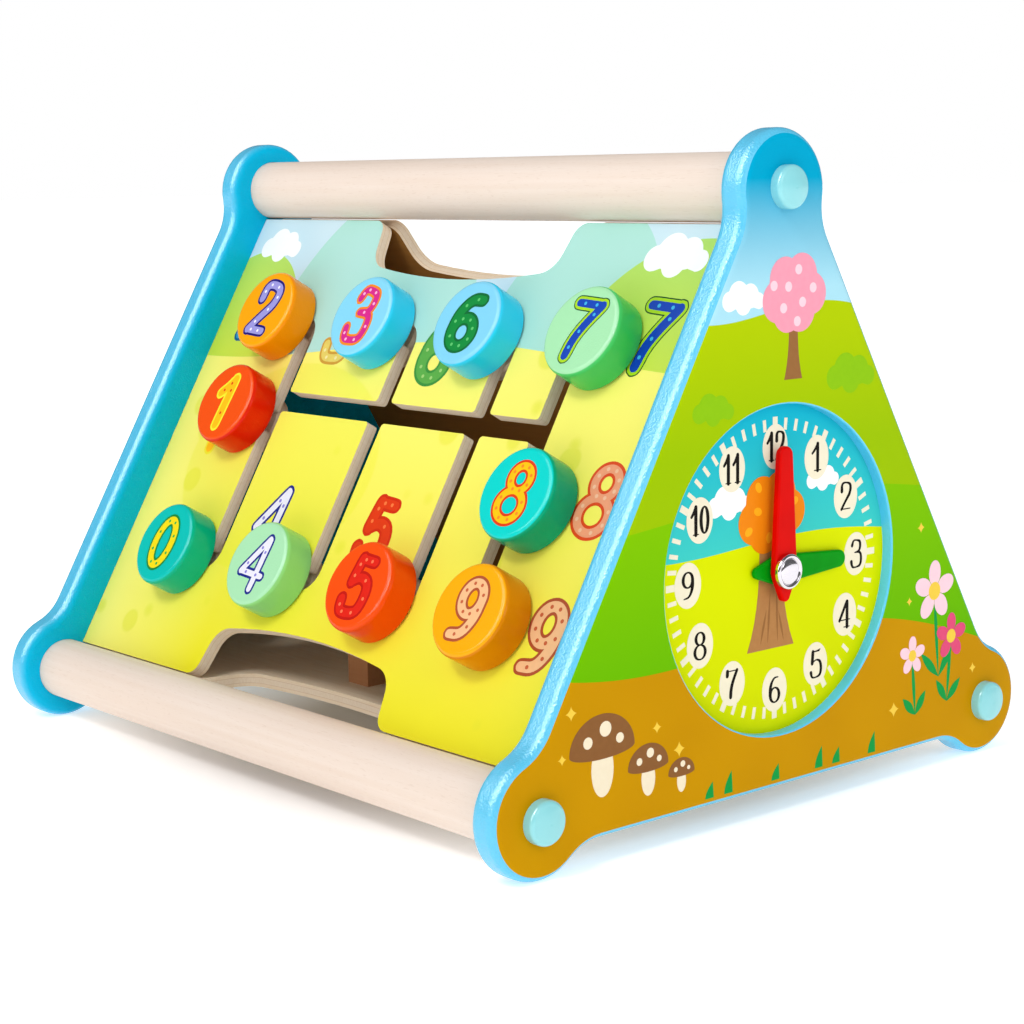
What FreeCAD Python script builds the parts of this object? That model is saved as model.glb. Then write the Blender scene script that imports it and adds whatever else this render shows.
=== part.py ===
import FreeCAD, Part
import math
import os
import re
import Sketcher

# A wooden activity triangle: two end boards joined by three dowels, three
# panels between them, a number maze with ten sliders on the front panel and a
# clock face with two hands in one end board.
# X runs along the dowels with the clock at +X, the maze faces -Y, Z is up.
# The origin is on the floor, under the middle of the object.

# Driving sizes in millimetres
SIZES = {
    # Frame
    "dowel_spacing": 220.0,
    "dowel_diameter": 23.6,
    "dowel_chamfer": 0.8,
    "inside_length": 280.0,
    "socket_depth": 3.0,
    "glue_gap": 0.1,
    # End boards
    "board_thickness": 11.5,
    "edge_margin": 11.2,
    "lobe_radius": 20.3,
    "lobe_inset": 1.0,
    "neck_radius": 20.0,
    "edge_round": 3.5,
    # Panels
    "panel_thickness": 5.0,
    "panel_inset": 2.3,
    "panel_gap": 0.7,
    "corner_gap": 0.03,
    "groove_depth": 3.0,
    "notch_mouth": 114.0,
    "notch_floor": 107.0,
    "notch_side_depth": 19.5,
    "notch_depth": 24.4,
    "notch_mouth_round": 6.0,
    "notch_floor_round": 10.0,
    # Number maze, measured from the middle of the front panel
    "slot_width": 8.5,
    "slot_corner": 1.5,
    "column_a": -76.2,
    "column_b": -11.0,
    "column_c": 46.0,
    "column_d": 80.7,
    "reach_a": 16.3,
    "reach_b": 17.3,
    "reach_c": 11.7,
    "reach_d": 14.1,
    "row_bottom": -52.5,
    "row_top": 50.0,
    "row_crossing": 16.7,
    "row_a_side": 8.8,
    "row_d_side": -10.3,
    # Sliders
    "disc_diameter": 34.0,
    "disc_thickness": 12.9,
    "disc_round": 2.0,
    "disc_bevel": 0.8,
    "disc_gap": 0.3,
    "spindle_play": 0.25,
    "spindle_seat": 8.0,
    "retainer_diameter": 24.0,
    "retainer_thickness": 6.0,
    "retainer_bevel": 1.0,
    # Clock
    "recess_radius": 56.0,
    "recess_depth": 4.3,
    "recess_round": 0.8,
    "pivot_diameter": 4.0,
    "pivot_play": 0.08,
    "pivot_head_diameter": 12.0,
    "pivot_head_height": 1.9,
    "pivot_head_rim": 0.9,
    "pivot_head_round": 0.6,
    "nut_diameter": 12.0,
    "nut_thickness": 3.0,
    "nut_bevel": 0.7,
    "washer_diameter": 9.0,
    "washer_thickness": 0.25,
    "hand_play": 0.05,
    "hand_round": 0.7,
    "hand_tail_width": 4.0,
    "hour_thickness": 2.2,
    "hour_length": 33.5,
    "hour_width": 10.4,
    "hour_tip_width": 6.0,
    "hour_tail": 12.0,
    "minute_thickness": 2.6,
    "minute_length": 42.0,
    "minute_width": 11.0,
    "minute_tip_width": 6.4,
    "minute_tail": 10.5,
    # Screws and caps at the dowel ends
    "screw_diameter": 4.0,
    "screw_length": 32.0,
    "screw_point": 5.0,
    "screw_head_diameter": 8.5,
    "screw_head_height": 2.6,
    "screw_play": 0.08,
    "counterbore_diameter": 10.4,
    "counterbore_depth": 5.0,
    "pilot_extra": 2.0,
    "cap_diameter": 14.5,
    "cap_height": 5.0,
    "cap_rim": 2.6,
    "cap_round": 1.6,
    "cap_stub_length": 1.8,
    "cap_stub_play": 0.1,
    # Wooden block on the bottom panel
    "block_width": 12.0,
    "block_depth": 12.0,
    "block_height": 16.0,
    "block_x": -8.1,
    "block_front": 50.0,
    "block_round": 0.8,
}

# Sizes worked out from the driving sizes
CENTROID_RADIUS = "(dowel_spacing / sqrt(3))"
APOTHEM = "(dowel_spacing / sqrt(12))"
AXIS_HEIGHT = "(lobe_radius - lobe_inset / 2)"
CENTRE_HEIGHT = f"({AXIS_HEIGHT} + {APOTHEM})"
DOWEL_LENGTH = "(inside_length + 2 * (socket_depth - glue_gap))"
PANEL_LENGTH = "(inside_length + 2 * (groove_depth - glue_gap))"
PANEL_INNER = "(panel_inset + panel_thickness)"
PANEL_CLEAR = f"max(dowel_diameter / 2 + panel_gap; {PANEL_INNER} * sqrt(3) + corner_gap)"
PANEL_HALF = f"(dowel_spacing / 2 - {PANEL_CLEAR})"
SPINDLE_RADIUS = "(slot_width / 2 - spindle_play)"
OUTER_FACE = "(inside_length / 2 + board_thickness)"
DIAL_FACE = f"({OUTER_FACE} - recess_depth)"
HOUR_BASE = "(washer_thickness + hand_play)"
MINUTE_BASE = f"({HOUR_BASE} + hour_thickness + washer_thickness + 2 * hand_play)"
HEAD_BASE = f"({MINUTE_BASE} + minute_thickness + washer_thickness + hand_play)"

# Maze columns: centre, reach of the side pockets and their side
COLUMNS = {
    "a": ("column_a", "reach_a", -1),
    "b": ("column_b", "reach_b", -1),
    "c": ("column_c", "reach_c", -1),
    "d": ("column_d", "reach_d", 1),
}

# Pocket of each numbered slider: its column and its row
POCKETS = {
    0: ("a", "row_bottom"),
    1: ("a", "row_a_side"),
    2: ("a", "row_top"),
    3: ("b", "row_top"),
    4: ("b", "row_bottom"),
    5: ("c", "row_bottom"),
    6: ("c", "row_top"),
    7: ("d", "row_top"),
    8: ("d", "row_d_side"),
    9: ("d", "row_bottom"),
}

ALONG_X = FreeCAD.Rotation(FreeCAD.Vector(1, 1, 1), 120)
HALF_TURN = FreeCAD.Rotation(FreeCAD.Vector(0, 0, 1), 180)
TOLERANCE = 1e-4

doc = FreeCAD.newDocument("ActivityTriangle")
sheet = doc.addObject("Spreadsheet::Sheet", "Sizes")
parts = []


def fill_sheet():
    """Writes each driving size into the sheet under its own name."""
    for row, (name, size) in enumerate(SIZES.items(), start=1):
        sheet.set(f"A{row}", name)
        sheet.set(f"B{row}", str(size))
        sheet.setAlias(f"B{row}", name)
    doc.recompute()


def formula(text):
    """Turns the size names in a text into references to the sheet."""
    return re.sub(r"[a-z_]+", lambda word: f"Sizes.{word[0]}" if word[0] in SIZES else word[0], str(text))


def number(text):
    """Works out a formula as a plain number."""
    return float(sheet.evalExpression(formula(text)))


def bind(item, **sizes):
    """Ties properties of an object to formulas."""
    for name, text in sizes.items():
        item.setExpression(name.replace("__", "."), formula(text))


def new_body(label, rotation=None, x=0, y=0, z=0):
    """Starts a sub-part at its place in the object."""
    body = doc.addObject("PartDesign::Body", label)
    body.Label = label
    body.Placement = FreeCAD.Placement(FreeCAD.Vector(), rotation or FreeCAD.Rotation())
    bind(body, Placement__Base__x=x, Placement__Base__y=y, Placement__Base__z=z)
    parts.append(body)
    return body


def origin_item(body, role):
    """Finds one of the body's own origin planes or axes."""
    return next(item for item in body.Origin.OriginFeatures if item.Role == role)


def new_sketch(body, name, plane="XY_Plane", lift=0):
    """Starts a sketch on an origin plane, lifted along its normal."""
    sketch = body.newObject("Sketcher::SketchObject", name)
    sketch.AttachmentSupport = [(origin_item(body, plane), "")]
    sketch.MapMode = "FlatFace"
    bind(sketch, AttachmentOffset__Base__z=lift)
    return sketch


def hold(sketch, kind, *place, size):
    """Adds one sketch dimension that follows a formula."""
    index = sketch.addConstraint(Sketcher.Constraint(kind, *place, number(size)))
    sketch.setExpression(f"Constraints[{index}]", formula(size))


def pin(sketch, geometry, point, x, y):
    """Holds one point of a sketch at its place."""
    hold(sketch, "DistanceX", -1, 1, geometry, point, size=x)
    hold(sketch, "DistanceY", -1, 1, geometry, point, size=y)


def circle(sketch, x, y, radius):
    """Draws a circle."""
    centre = FreeCAD.Vector(number(x), number(y), 0)
    geometry = sketch.addGeometry(Part.Circle(centre, FreeCAD.Vector(0, 0, 1), number(radius)))
    pin(sketch, geometry, 3, x, y)
    hold(sketch, "Radius", geometry, size=radius)


def loop(sketch, corners):
    """Draws a closed outline, anticlockwise. A corner is (x, y), or (x, y, centre_x, centre_y)
    where an anticlockwise arc round that centre leads to the next corner."""
    places = [FreeCAD.Vector(number(corner[0]), number(corner[1]), 0) for corner in corners]
    drawn = []
    for index, corner in enumerate(corners):
        start = places[index]
        end = places[(index + 1) % len(places)]
        edge = Part.LineSegment(start, end)
        if len(corner) == 4:
            centre = FreeCAD.Vector(number(corner[2]), number(corner[3]), 0)
            round_line = Part.Circle(centre, FreeCAD.Vector(0, 0, 1), (start - centre).Length)
            edge = Part.ArcOfCircle(round_line, round_line.parameter(start), round_line.parameter(end))
        drawn.append(sketch.addGeometry(edge))
    for index, corner in enumerate(corners):
        following = (index + 1) % len(drawn)
        sketch.addConstraint(Sketcher.Constraint("Coincident", drawn[index], 2, drawn[following], 1))
        pin(sketch, drawn[index], 1, corner[0], corner[1])
        if len(corner) == 4:
            # One coordinate of the centre is enough, the one across the chord
            chord = places[following] - places[index]
            kind, size = ("DistanceX", corner[2]) if abs(chord.y) > abs(chord.x) else ("DistanceY", corner[3])
            hold(sketch, kind, -1, 1, drawn[index], 3, size=size)


def rectangle(sketch, left, right, low, high):
    """Draws a rectangle between four formulas."""
    loop(sketch, [(left, low), (right, low), (right, high), (left, high)])


def pad(body, sketch, length):
    """Raises a sketch into a solid."""
    feature = body.newObject("PartDesign::Pad", f"{sketch.Name}_pad")
    feature.Profile = sketch
    bind(feature, Length=length)
    doc.recompute()
    return feature


def pocket(body, sketch, depth, inwards=True):
    """Cuts a sketch against its normal, or along it when it is drawn on the lower face."""
    before = body.Shape.Volume
    feature = body.newObject("PartDesign::Pocket", f"{sketch.Name}_pocket")
    feature.Profile = sketch
    feature.Reversed = not inwards
    bind(feature, Length=depth)
    doc.recompute()
    if not body.Shape.Volume < before:
        raise ValueError(f"{feature.Name} cuts nothing")
    return feature


def revolve(body, sketch, axis="V_Axis"):
    """Turns a sketch once round its own axis."""
    feature = body.newObject("PartDesign::Revolution", f"{sketch.Name}_turned")
    feature.Profile = sketch
    feature.ReferenceAxis = (sketch, [axis])
    feature.Angle = 360
    doc.recompute()
    return feature


def pattern(body, features, count=3):
    """Repeats features round the body's own Z axis."""
    feature = body.newObject("PartDesign::PolarPattern", f"{features[0].Name}_pattern")
    feature.Originals = features
    feature.Axis = (origin_item(body, "Z_Axis"), [""])
    feature.Angle = 360
    feature.Occurrences = count
    body.Tip = feature
    doc.recompute()
    return feature


def mirror(body, features, plane="XZ_Plane"):
    """Repeats features on the other side of an origin plane."""
    feature = body.newObject("PartDesign::Mirrored", f"{features[0].Name}_mirror")
    feature.Originals = features
    feature.MirrorPlane = (origin_item(body, plane), [""])
    body.Tip = feature
    doc.recompute()
    return feature


def upright_edges(body, places):
    """Names the edges that stand along Z at the given places."""
    shape = body.Tip.Shape
    found = []
    for x, y in places:
        place = FreeCAD.Vector(number(x), number(y), 0)
        for index, edge in enumerate(shape.Edges, start=1):
            ends = [FreeCAD.Vector(vertex.X, vertex.Y, 0) for vertex in edge.Vertexes]
            if len(ends) == 2 and all((end - place).Length < TOLERANCE for end in ends):
                found.append(f"Edge{index}")
    if len(found) != len(places):
        raise ValueError(f"{body.Label} has {len(found)} of {len(places)} edges to round")
    return found


def face_edges(body, height, keep=lambda edge: True):
    """Names the edges that lie flat at one height of the body."""
    level = number(height)
    found = []
    for index, edge in enumerate(body.Tip.Shape.Edges, start=1):
        box = edge.BoundBox
        if abs(box.ZMin - level) < TOLERANCE and abs(box.ZMax - level) < TOLERANCE and keep(edge):
            found.append(f"Edge{index}")
    return found


def fillet(body, name, edges, radius):
    """Rounds named edges of the body."""
    base = body.Tip
    feature = body.newObject("PartDesign::Fillet", name)
    feature.Base = (base, edges)
    bind(feature, Radius=radius)
    body.Tip = feature
    doc.recompute()
    return feature


def chamfer(body, name, edges, size):
    """Bevels named edges of the body."""
    base = body.Tip
    feature = body.newObject("PartDesign::Chamfer", name)
    feature.Base = (base, edges)
    bind(feature, Size=size)
    body.Tip = feature
    doc.recompute()
    return feature


def side_feet(angle):
    """Gives the two points beside a dowel where the straight board edges start."""
    return [
        (
            f"{CENTROID_RADIUS} * cos({angle}) + edge_margin * cos({angle + turn})",
            f"{CENTROID_RADIUS} * sin({angle}) + edge_margin * sin({angle + turn})",
        )
        for turn in (-60, 60)
    ]


def neck_places():
    """Finds where the straight board edges run into the round lobes."""
    away = "(edge_margin + lobe_inset / 2)"
    reach = f"sqrt(lobe_radius^2 - {away}^2)"
    centre = f"({CENTROID_RADIUS} - lobe_inset)"
    places = []
    for angle in (90, 210, 330):
        for turn in (-60, 60):
            along = angle + turn + (-90 if turn < 0 else 90)
            places.append(
                (
                    f"{centre} * cos({angle}) + {away} * cos({angle + turn}) + {reach} * cos({along})",
                    f"{centre} * sin({angle}) + {away} * sin({angle + turn}) + {reach} * sin({along})",
                )
            )
    return places


def end_board(label, rotation, x):
    """Makes a rounded triangular board. Its inner face is at Z = 0 and its middle at the
    middle of the triangle."""
    body = new_body(label, rotation, x=x, z=CENTRE_HEIGHT)
    plate = new_sketch(body, f"{label}_plate")
    loop(plate, [foot for angle in (90, 210, 330) for foot in side_feet(angle)])
    pad(body, plate, "board_thickness")
    lobe = new_sketch(body, f"{label}_lobe")
    circle(lobe, 0, f"{CENTROID_RADIUS} - lobe_inset", "lobe_radius")
    pattern(body, [pad(body, lobe, "board_thickness")])
    fillet(body, f"{label}_necks", upright_edges(body, neck_places()), "neck_radius")
    fillet(body, f"{label}_rim", face_edges(body, 0) + face_edges(body, "board_thickness"), "edge_round")

    # Sockets for the dowels and grooves for the panels, on the inner face
    socket = new_sketch(body, f"{label}_socket")
    circle(socket, 0, CENTROID_RADIUS, "dowel_diameter / 2 + glue_gap")
    groove = new_sketch(body, f"{label}_groove")
    rectangle(
        groove,
        f"-({PANEL_HALF} + glue_gap)",
        f"{PANEL_HALF} + glue_gap",
        f"-({APOTHEM} - panel_inset + glue_gap)",
        f"-({APOTHEM} - {PANEL_INNER} - glue_gap)",
    )
    inner = [pocket(body, socket, "socket_depth", False), pocket(body, groove, "groove_depth", False)]

    # Screw holes, counterbored from the outer face
    hole = new_sketch(body, f"{label}_screw_hole", lift="board_thickness")
    circle(hole, 0, CENTROID_RADIUS, "screw_diameter / 2 + screw_play")
    bore = new_sketch(body, f"{label}_counterbore", lift="board_thickness")
    circle(bore, 0, CENTROID_RADIUS, "counterbore_diameter / 2")
    outer = [pocket(body, hole, "board_thickness"), pocket(body, bore, "counterbore_depth")]
    pattern(body, inner + outer)
    return body


def clock_board():
    """Makes the end board with the round clock recess and the pivot hole."""
    body = end_board("end_board_clock", ALONG_X, "inside_length / 2")
    recess = new_sketch(body, "clock_recess", lift="board_thickness")
    circle(recess, 0, 0, "recess_radius")
    pocket(body, recess, "recess_depth")
    hole = new_sketch(body, "clock_pivot_hole", lift="board_thickness")
    circle(hole, 0, 0, "pivot_diameter / 2 + pivot_play")
    pocket(body, hole, "board_thickness")
    wide = number("recess_radius") - TOLERANCE
    rim = face_edges(body, "board_thickness", lambda edge: is_round(edge, wide))
    fillet(body, "clock_recess_rim", rim, "recess_round")


def is_round(edge, radius):
    """Tells whether an edge is a full circle round the body's Z axis, at least this wide."""
    curve = edge.Curve
    if not isinstance(curve, Part.Circle) or not edge.isClosed():
        return False
    return math.hypot(curve.Center.x, curve.Center.y) < TOLERANCE and curve.Radius > radius


def plain_board():
    """Makes the end board at -X, with no clock."""
    end_board("end_board_plain", HALF_TURN.multiply(ALONG_X), "-inside_length / 2")


def dowel(label, y, z):
    """Makes a round dowel with a pilot hole in each end."""
    body = new_body(label, ALONG_X, x=f"-{DOWEL_LENGTH} / 2", y=y, z=z)
    rod = new_sketch(body, f"{label}_rod")
    circle(rod, 0, 0, "dowel_diameter / 2")
    pad(body, rod, DOWEL_LENGTH)
    chamfer(body, f"{label}_ends", face_edges(body, 0) + face_edges(body, DOWEL_LENGTH), "dowel_chamfer")
    depth = "screw_length - (board_thickness - counterbore_depth - socket_depth) - glue_gap + pilot_extra"
    for side, lift, inwards in (("near", 0, False), ("far", DOWEL_LENGTH, True)):
        pilot = new_sketch(body, f"{label}_{side}_pilot", lift=lift)
        circle(pilot, 0, 0, "screw_diameter / 2 + screw_play")
        pocket(body, pilot, depth, inwards)


def notched_panel(label, angle, y, z):
    """Makes a plywood panel with a hand notch in both long edges. Its outer face is at
    Z = 0, X runs along the dowels and Y across the panel."""
    body = new_body(label, FreeCAD.Rotation(FreeCAD.Vector(1, 0, 0), angle), y=y, z=z)
    sheet_outline = new_sketch(body, f"{label}_outline", lift="-panel_thickness")
    rectangle(sheet_outline, f"-{PANEL_LENGTH} / 2", f"{PANEL_LENGTH} / 2", f"-{PANEL_HALF}", PANEL_HALF)
    pad(body, sheet_outline, "panel_thickness")

    # One hand notch with a crowned floor, mirrored to the other edge
    rise = "(notch_depth - notch_side_depth)"
    crown = dome_radius("(notch_floor / 2)", rise)
    floor = f"-({PANEL_HALF} - notch_side_depth)"
    notch = new_sketch(body, f"{label}_notch")
    loop(
        notch,
        [
            ("-notch_mouth / 2", f"-{PANEL_HALF}"),
            ("notch_mouth / 2", f"-{PANEL_HALF}"),
            ("notch_floor / 2", floor, 0, f"{floor} + {rise} - {crown}"),
            ("-notch_floor / 2", floor),
        ],
    )
    mirror(body, [pocket(body, notch, "panel_thickness")])
    mouths = [(f"{side} * notch_mouth / 2", f"{end} * {PANEL_HALF}") for side in (-1, 1) for end in (-1, 1)]
    floors = [(f"{side} * notch_floor / 2", f"{end} * {floor}") for side in (-1, 1) for end in (-1, 1)]
    fillet(body, f"{label}_notch_mouths", upright_edges(body, mouths), "notch_mouth_round")
    fillet(body, f"{label}_notch_floors", upright_edges(body, floors), "notch_floor_round")
    return body


def maze_panel():
    """Makes the front panel: a notched panel with the connected slots of the number maze."""
    body = notched_panel("front_panel", 60, FRONT_Y, SLOPE_Z)
    half = "slot_width / 2"
    low = f"row_bottom - {half}"
    high = f"row_top + {half}"

    # Four columns, the slot that crosses them all and a side pocket for every slider
    columns = new_sketch(body, "maze_columns")
    for centre, reach, side in COLUMNS.values():
        rectangle(columns, f"{centre} - {half}", f"{centre} + {half}", low, high)
    pocket(body, columns, "panel_thickness")
    crossing = new_sketch(body, "maze_crossing")
    rectangle(
        crossing,
        f"column_a - {half}",
        f"column_d + {half}",
        f"row_crossing - {half}",
        f"row_crossing + {half}",
    )
    pocket(body, crossing, "panel_thickness")
    pockets = new_sketch(body, "maze_pockets")
    for column, row in POCKETS.values():
        centre, reach, side = COLUMNS[column]
        side_pocket(pockets, centre, f"{centre} + {side} * {reach}", row, side)
    pocket(body, pockets, "panel_thickness")

    fillet(body, "maze_turns", upright_edges(body, outer_turns(low, high)), "slot_width + slot_corner")
    fillet(body, "maze_corners", upright_edges(body, inner_corners()), "slot_corner")


def side_pocket(sketch, near, far, row, side):
    """Draws one side pocket with a round end, from the middle of its column."""
    low = f"{row} - slot_width / 2"
    high = f"{row} + slot_width / 2"
    if side > 0:
        corners = [(near, low), (far, low, far, row), (far, high), (near, high)]
    else:
        corners = [(near, high), (far, high, far, row), (far, low), (near, low)]
    loop(sketch, corners)


def outer_turns(low, high):
    """Gives the outer corner of the turn at both ends of each column."""
    places = []
    for centre, reach, side in COLUMNS.values():
        wall = f"{centre} - {side} * slot_width / 2"
        places += [(wall, low), (wall, high)]
    return places


def inner_corners():
    """Gives the corners that stand between a column and its pockets or the crossing slot."""
    half = "slot_width / 2"
    places = []
    for column, row in POCKETS.values():
        centre, reach, side = COLUMNS[column]
        wall = f"{centre} + {side} * {half}"
        if row != "row_bottom":
            places.append((wall, f"{row} - {half}"))
        if row != "row_top":
            places.append((wall, f"{row} + {half}"))
    walls = [f"{COLUMNS[column][0]} + {half}" for column in "abc"]
    walls += [f"{COLUMNS[column][0]} - {half}" for column in "bcd"]
    for wall in walls:
        places += [(wall, f"row_crossing - {half}"), (wall, f"row_crossing + {half}")]
    return places


def wooden_disc(label, rotation, place, diameter, thickness, base):
    """Makes a plain wooden disc with its lower face at a given height."""
    body = new_body(label, rotation, **place)
    face = new_sketch(body, f"{label}_face", lift=base)
    circle(face, 0, 0, f"{diameter} / 2")
    pad(body, face, thickness)
    return body


def slider(digit):
    """Makes one slider of the maze: the number disc in front of the panel, the spindle in
    the slot and the disc that holds it behind the panel, all glued together."""
    column, row = POCKETS[digit]
    centre, reach, side = COLUMNS[column]
    rotation = FreeCAD.Rotation(FreeCAD.Vector(1, 0, 0), 60)
    place = {
        "x": f"{centre} + {side} * {reach}",
        "y": f"{FRONT_Y} + ({row}) / 2",
        "z": f"{SLOPE_Z} + ({row}) * sqrt(3) / 2",
    }
    retainer_base = "(-panel_thickness - disc_gap - retainer_thickness)"

    disc = wooden_disc(
        f"number_disc_{digit}", rotation, place, "disc_diameter", "disc_thickness", "disc_gap"
    )
    chamfer(disc, f"disc_back_{digit}", face_edges(disc, "disc_gap"), "disc_bevel")
    front = face_edges(disc, "disc_gap + disc_thickness")
    fillet(disc, f"disc_front_{digit}", front, "disc_round")
    seat = new_sketch(disc, f"disc_seat_{digit}", lift="disc_gap")
    circle(seat, 0, 0, SPINDLE_RADIUS)
    pocket(disc, seat, "spindle_seat", False)

    retainer = wooden_disc(
        f"retaining_disc_{digit}", rotation, place,
        "retainer_diameter", "retainer_thickness", retainer_base,
    )
    retainer_front = f"{retainer_base} + retainer_thickness"
    rims = face_edges(retainer, retainer_base) + face_edges(retainer, retainer_front)
    chamfer(retainer, f"retainer_rims_{digit}", rims, "retainer_bevel")
    hole = new_sketch(retainer, f"retainer_hole_{digit}", lift=retainer_front)
    circle(hole, 0, 0, SPINDLE_RADIUS)
    pocket(retainer, hole, "retainer_thickness")

    spindle = new_body(f"spindle_{digit}", rotation, **place)
    rod = new_sketch(spindle, f"spindle_rod_{digit}", lift=retainer_base)
    circle(rod, 0, 0, SPINDLE_RADIUS)
    pad(spindle, rod, f"disc_gap + spindle_seat - {retainer_base}")


def clock_hand(label, turn, base, length, width, tip, tail, thickness):
    """Makes a clock hand: a tapered blade with a round hub, a round tip and a short tail."""
    rotation = ALONG_X.multiply(FreeCAD.Rotation(FreeCAD.Vector(0, 0, 1), -turn))
    body = new_body(label, rotation, x=f"{DIAL_FACE} + {base}", z=CENTRE_HEIGHT)
    hub = f"({width} / 2)"
    (tip_x, tip_y), (hub_tip_x, hub_tip_y) = taper(hub, f"({tip} / 2)", length)
    (tail_x, tail_y), (hub_tail_x, hub_tail_y) = taper(hub, "(hand_tail_width / 2)", tail)
    tip_centre = f"{length} - {tip} / 2"
    tail_centre = f"-({tail} - hand_tail_width / 2)"
    blade = new_sketch(body, f"{label}_blade")
    loop(
        blade,
        [
            (f"-{tail_x}", f"-{tail_y}", 0, tail_centre),
            (tail_x, f"-{tail_y}"),
            (hub_tail_x, f"-{hub_tail_y}", 0, 0),
            (hub_tip_x, hub_tip_y),
            (tip_x, tip_y, 0, tip_centre),
            (f"-{tip_x}", tip_y),
            (f"-{hub_tip_x}", hub_tip_y, 0, 0),
            (f"-{hub_tail_x}", f"-{hub_tail_y}"),
        ],
    )
    pad(body, blade, thickness)
    fillet(body, f"{label}_edges", face_edges(body, 0) + face_edges(body, thickness), "hand_round")
    hole = new_sketch(body, f"{label}_hole", lift=thickness)
    circle(hole, 0, 0, "pivot_diameter / 2 + pivot_play")
    pocket(body, hole, thickness)


def taper(hub, tip, reach):
    """Gives the two points where a straight side meets a round tip and the round hub."""
    lean = f"(({hub} - {tip}) / ({reach} - {tip}))"
    across = f"sqrt(1 - {lean}^2)"
    return (
        (f"({tip} * {across})", f"({reach} - {tip} + {tip} * {lean})"),
        (f"({hub} * {across})", f"({hub} * {lean})"),
    )


def domed_top(radius, rim, rounding, height):
    """Gives the upper corners of a turned cap: a straight rim, a rounded shoulder and a
    crowned top that meets the axis square."""
    inner = f"({radius} - {rounding})"
    shoulder = f"({rim} + {rounding})"
    rise = f"({height} - {shoulder})"
    crown = dome_radius(inner, rise)
    return [
        (radius, rim, inner, rim),
        (inner, shoulder, 0, f"{height} - {crown}"),
        (0, height),
    ]


def dome_radius(half_width, rise):
    """Gives the radius of an arc over a half width with a given rise."""
    return f"(({half_width}^2 + {rise}^2) / (2 * {rise}))"


def clock_pivot():
    """Makes the domed pin that holds the hands. It reaches through the board into its nut."""
    body = new_body("clock_pivot", ALONG_X, x=DIAL_FACE, z=CENTRE_HEIGHT)
    profile = new_sketch(body, "pivot_profile", "XZ_Plane")
    end = "-(board_thickness - recess_depth + nut_thickness)"
    loop(
        profile,
        [
            (0, end),
            ("pivot_diameter / 2", end),
            ("pivot_diameter / 2", HEAD_BASE),
            ("pivot_head_diameter / 2", HEAD_BASE),
            *domed_top(
                "(pivot_head_diameter / 2)",
                f"({HEAD_BASE} + pivot_head_rim)",
                "pivot_head_round",
                f"({HEAD_BASE} + pivot_head_height)",
            ),
        ],
    )
    revolve(body, profile)

    nut = new_body("clock_pivot_nut", ALONG_X, x="inside_length / 2 - nut_thickness", z=CENTRE_HEIGHT)
    ring = new_sketch(nut, "nut_ring")
    circle(ring, 0, 0, "nut_diameter / 2")
    pad(nut, ring, "nut_thickness")
    chamfer(nut, "nut_edge", face_edges(nut, 0), "nut_bevel")
    thread = new_sketch(nut, "nut_thread", lift="nut_thickness")
    circle(thread, 0, 0, "pivot_diameter / 2")
    pocket(nut, thread, "nut_thickness")


def hand_washers():
    """Makes the three thin washers under, between and over the hands."""
    ring = doc.addObject("Part::Cylinder", "washer_ring")
    bind(ring, Radius="washer_diameter / 2", Height="washer_thickness")
    hole = doc.addObject("Part::Cylinder", "washer_hole")
    bind(hole, Radius="pivot_diameter / 2 + pivot_play", Height="washer_thickness")
    washer = doc.addObject("Part::Cut", "washer")
    washer.Base = ring
    washer.Tool = hole
    bases = ["0", f"{MINUTE_BASE} - hand_play - washer_thickness", f"{HEAD_BASE} - washer_thickness"]
    places = [(ALONG_X, f"{DIAL_FACE} + {base}", "0", CENTRE_HEIGHT) for base in bases]
    group("hand_washers", washer, places)


def group(label, pattern_piece, places):
    """Repeats one finished solid at several places as separate solids of one sub-part."""
    doc.recompute()
    solids = []
    for rotation, x, y, z in places:
        solid = pattern_piece.Shape.copy()
        base = FreeCAD.Vector(number(x), number(y), number(z))
        solid.Placement = FreeCAD.Placement(base, rotation)
        solids.append(solid)
    feature = doc.addObject("Part::Feature", label)
    feature.Shape = Part.makeCompound(solids)
    feature.Label = label
    parts.append(feature)


def dowel_ends():
    """Gives the rotation and place of the outer face over each dowel end."""
    faces = [
        ("clock", ALONG_X, OUTER_FACE),
        ("plain", HALF_TURN.multiply(ALONG_X), f"-{OUTER_FACE}"),
    ]
    ends = {}
    for side, rotation, x in faces:
        for name, (y, z) in DOWELS.items():
            ends[f"{side}_{name}"] = (rotation, x, y, z)
    return ends


def dowel_screws():
    """Makes the six screws that hold the end boards on the dowels."""
    screw = doc.addObject("PartDesign::Body", "screw")
    profile = new_sketch(screw, "screw_profile", "XZ_Plane")
    seat = "-counterbore_depth"
    loop(
        profile,
        [
            (0, f"{seat} - screw_length"),
            ("screw_diameter / 2", f"{seat} - screw_length + screw_point"),
            ("screw_diameter / 2", seat),
            ("screw_head_diameter / 2", seat),
            ("screw_head_diameter / 2", f"{seat} + screw_head_height"),
            (0, f"{seat} + screw_head_height"),
        ],
    )
    revolve(screw, profile)
    group("dowel_screws", screw, list(dowel_ends().values()))


def screw_caps():
    """Makes the domed caps that close the screw holes."""
    for name, (rotation, x, y, z) in dowel_ends().items():
        body = new_body(f"screw_cap_{name}", rotation, x=x, y=y, z=z)
        profile = new_sketch(body, f"cap_profile_{name}", "XZ_Plane")
        stub = "counterbore_diameter / 2 - cap_stub_play"
        loop(
            profile,
            [
                (0, "-cap_stub_length"),
                (stub, "-cap_stub_length"),
                (stub, 0),
                ("cap_diameter / 2", 0),
                *domed_top("(cap_diameter / 2)", "cap_rim", "cap_round", "cap_height"),
            ],
        )
        revolve(body, profile)


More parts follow.
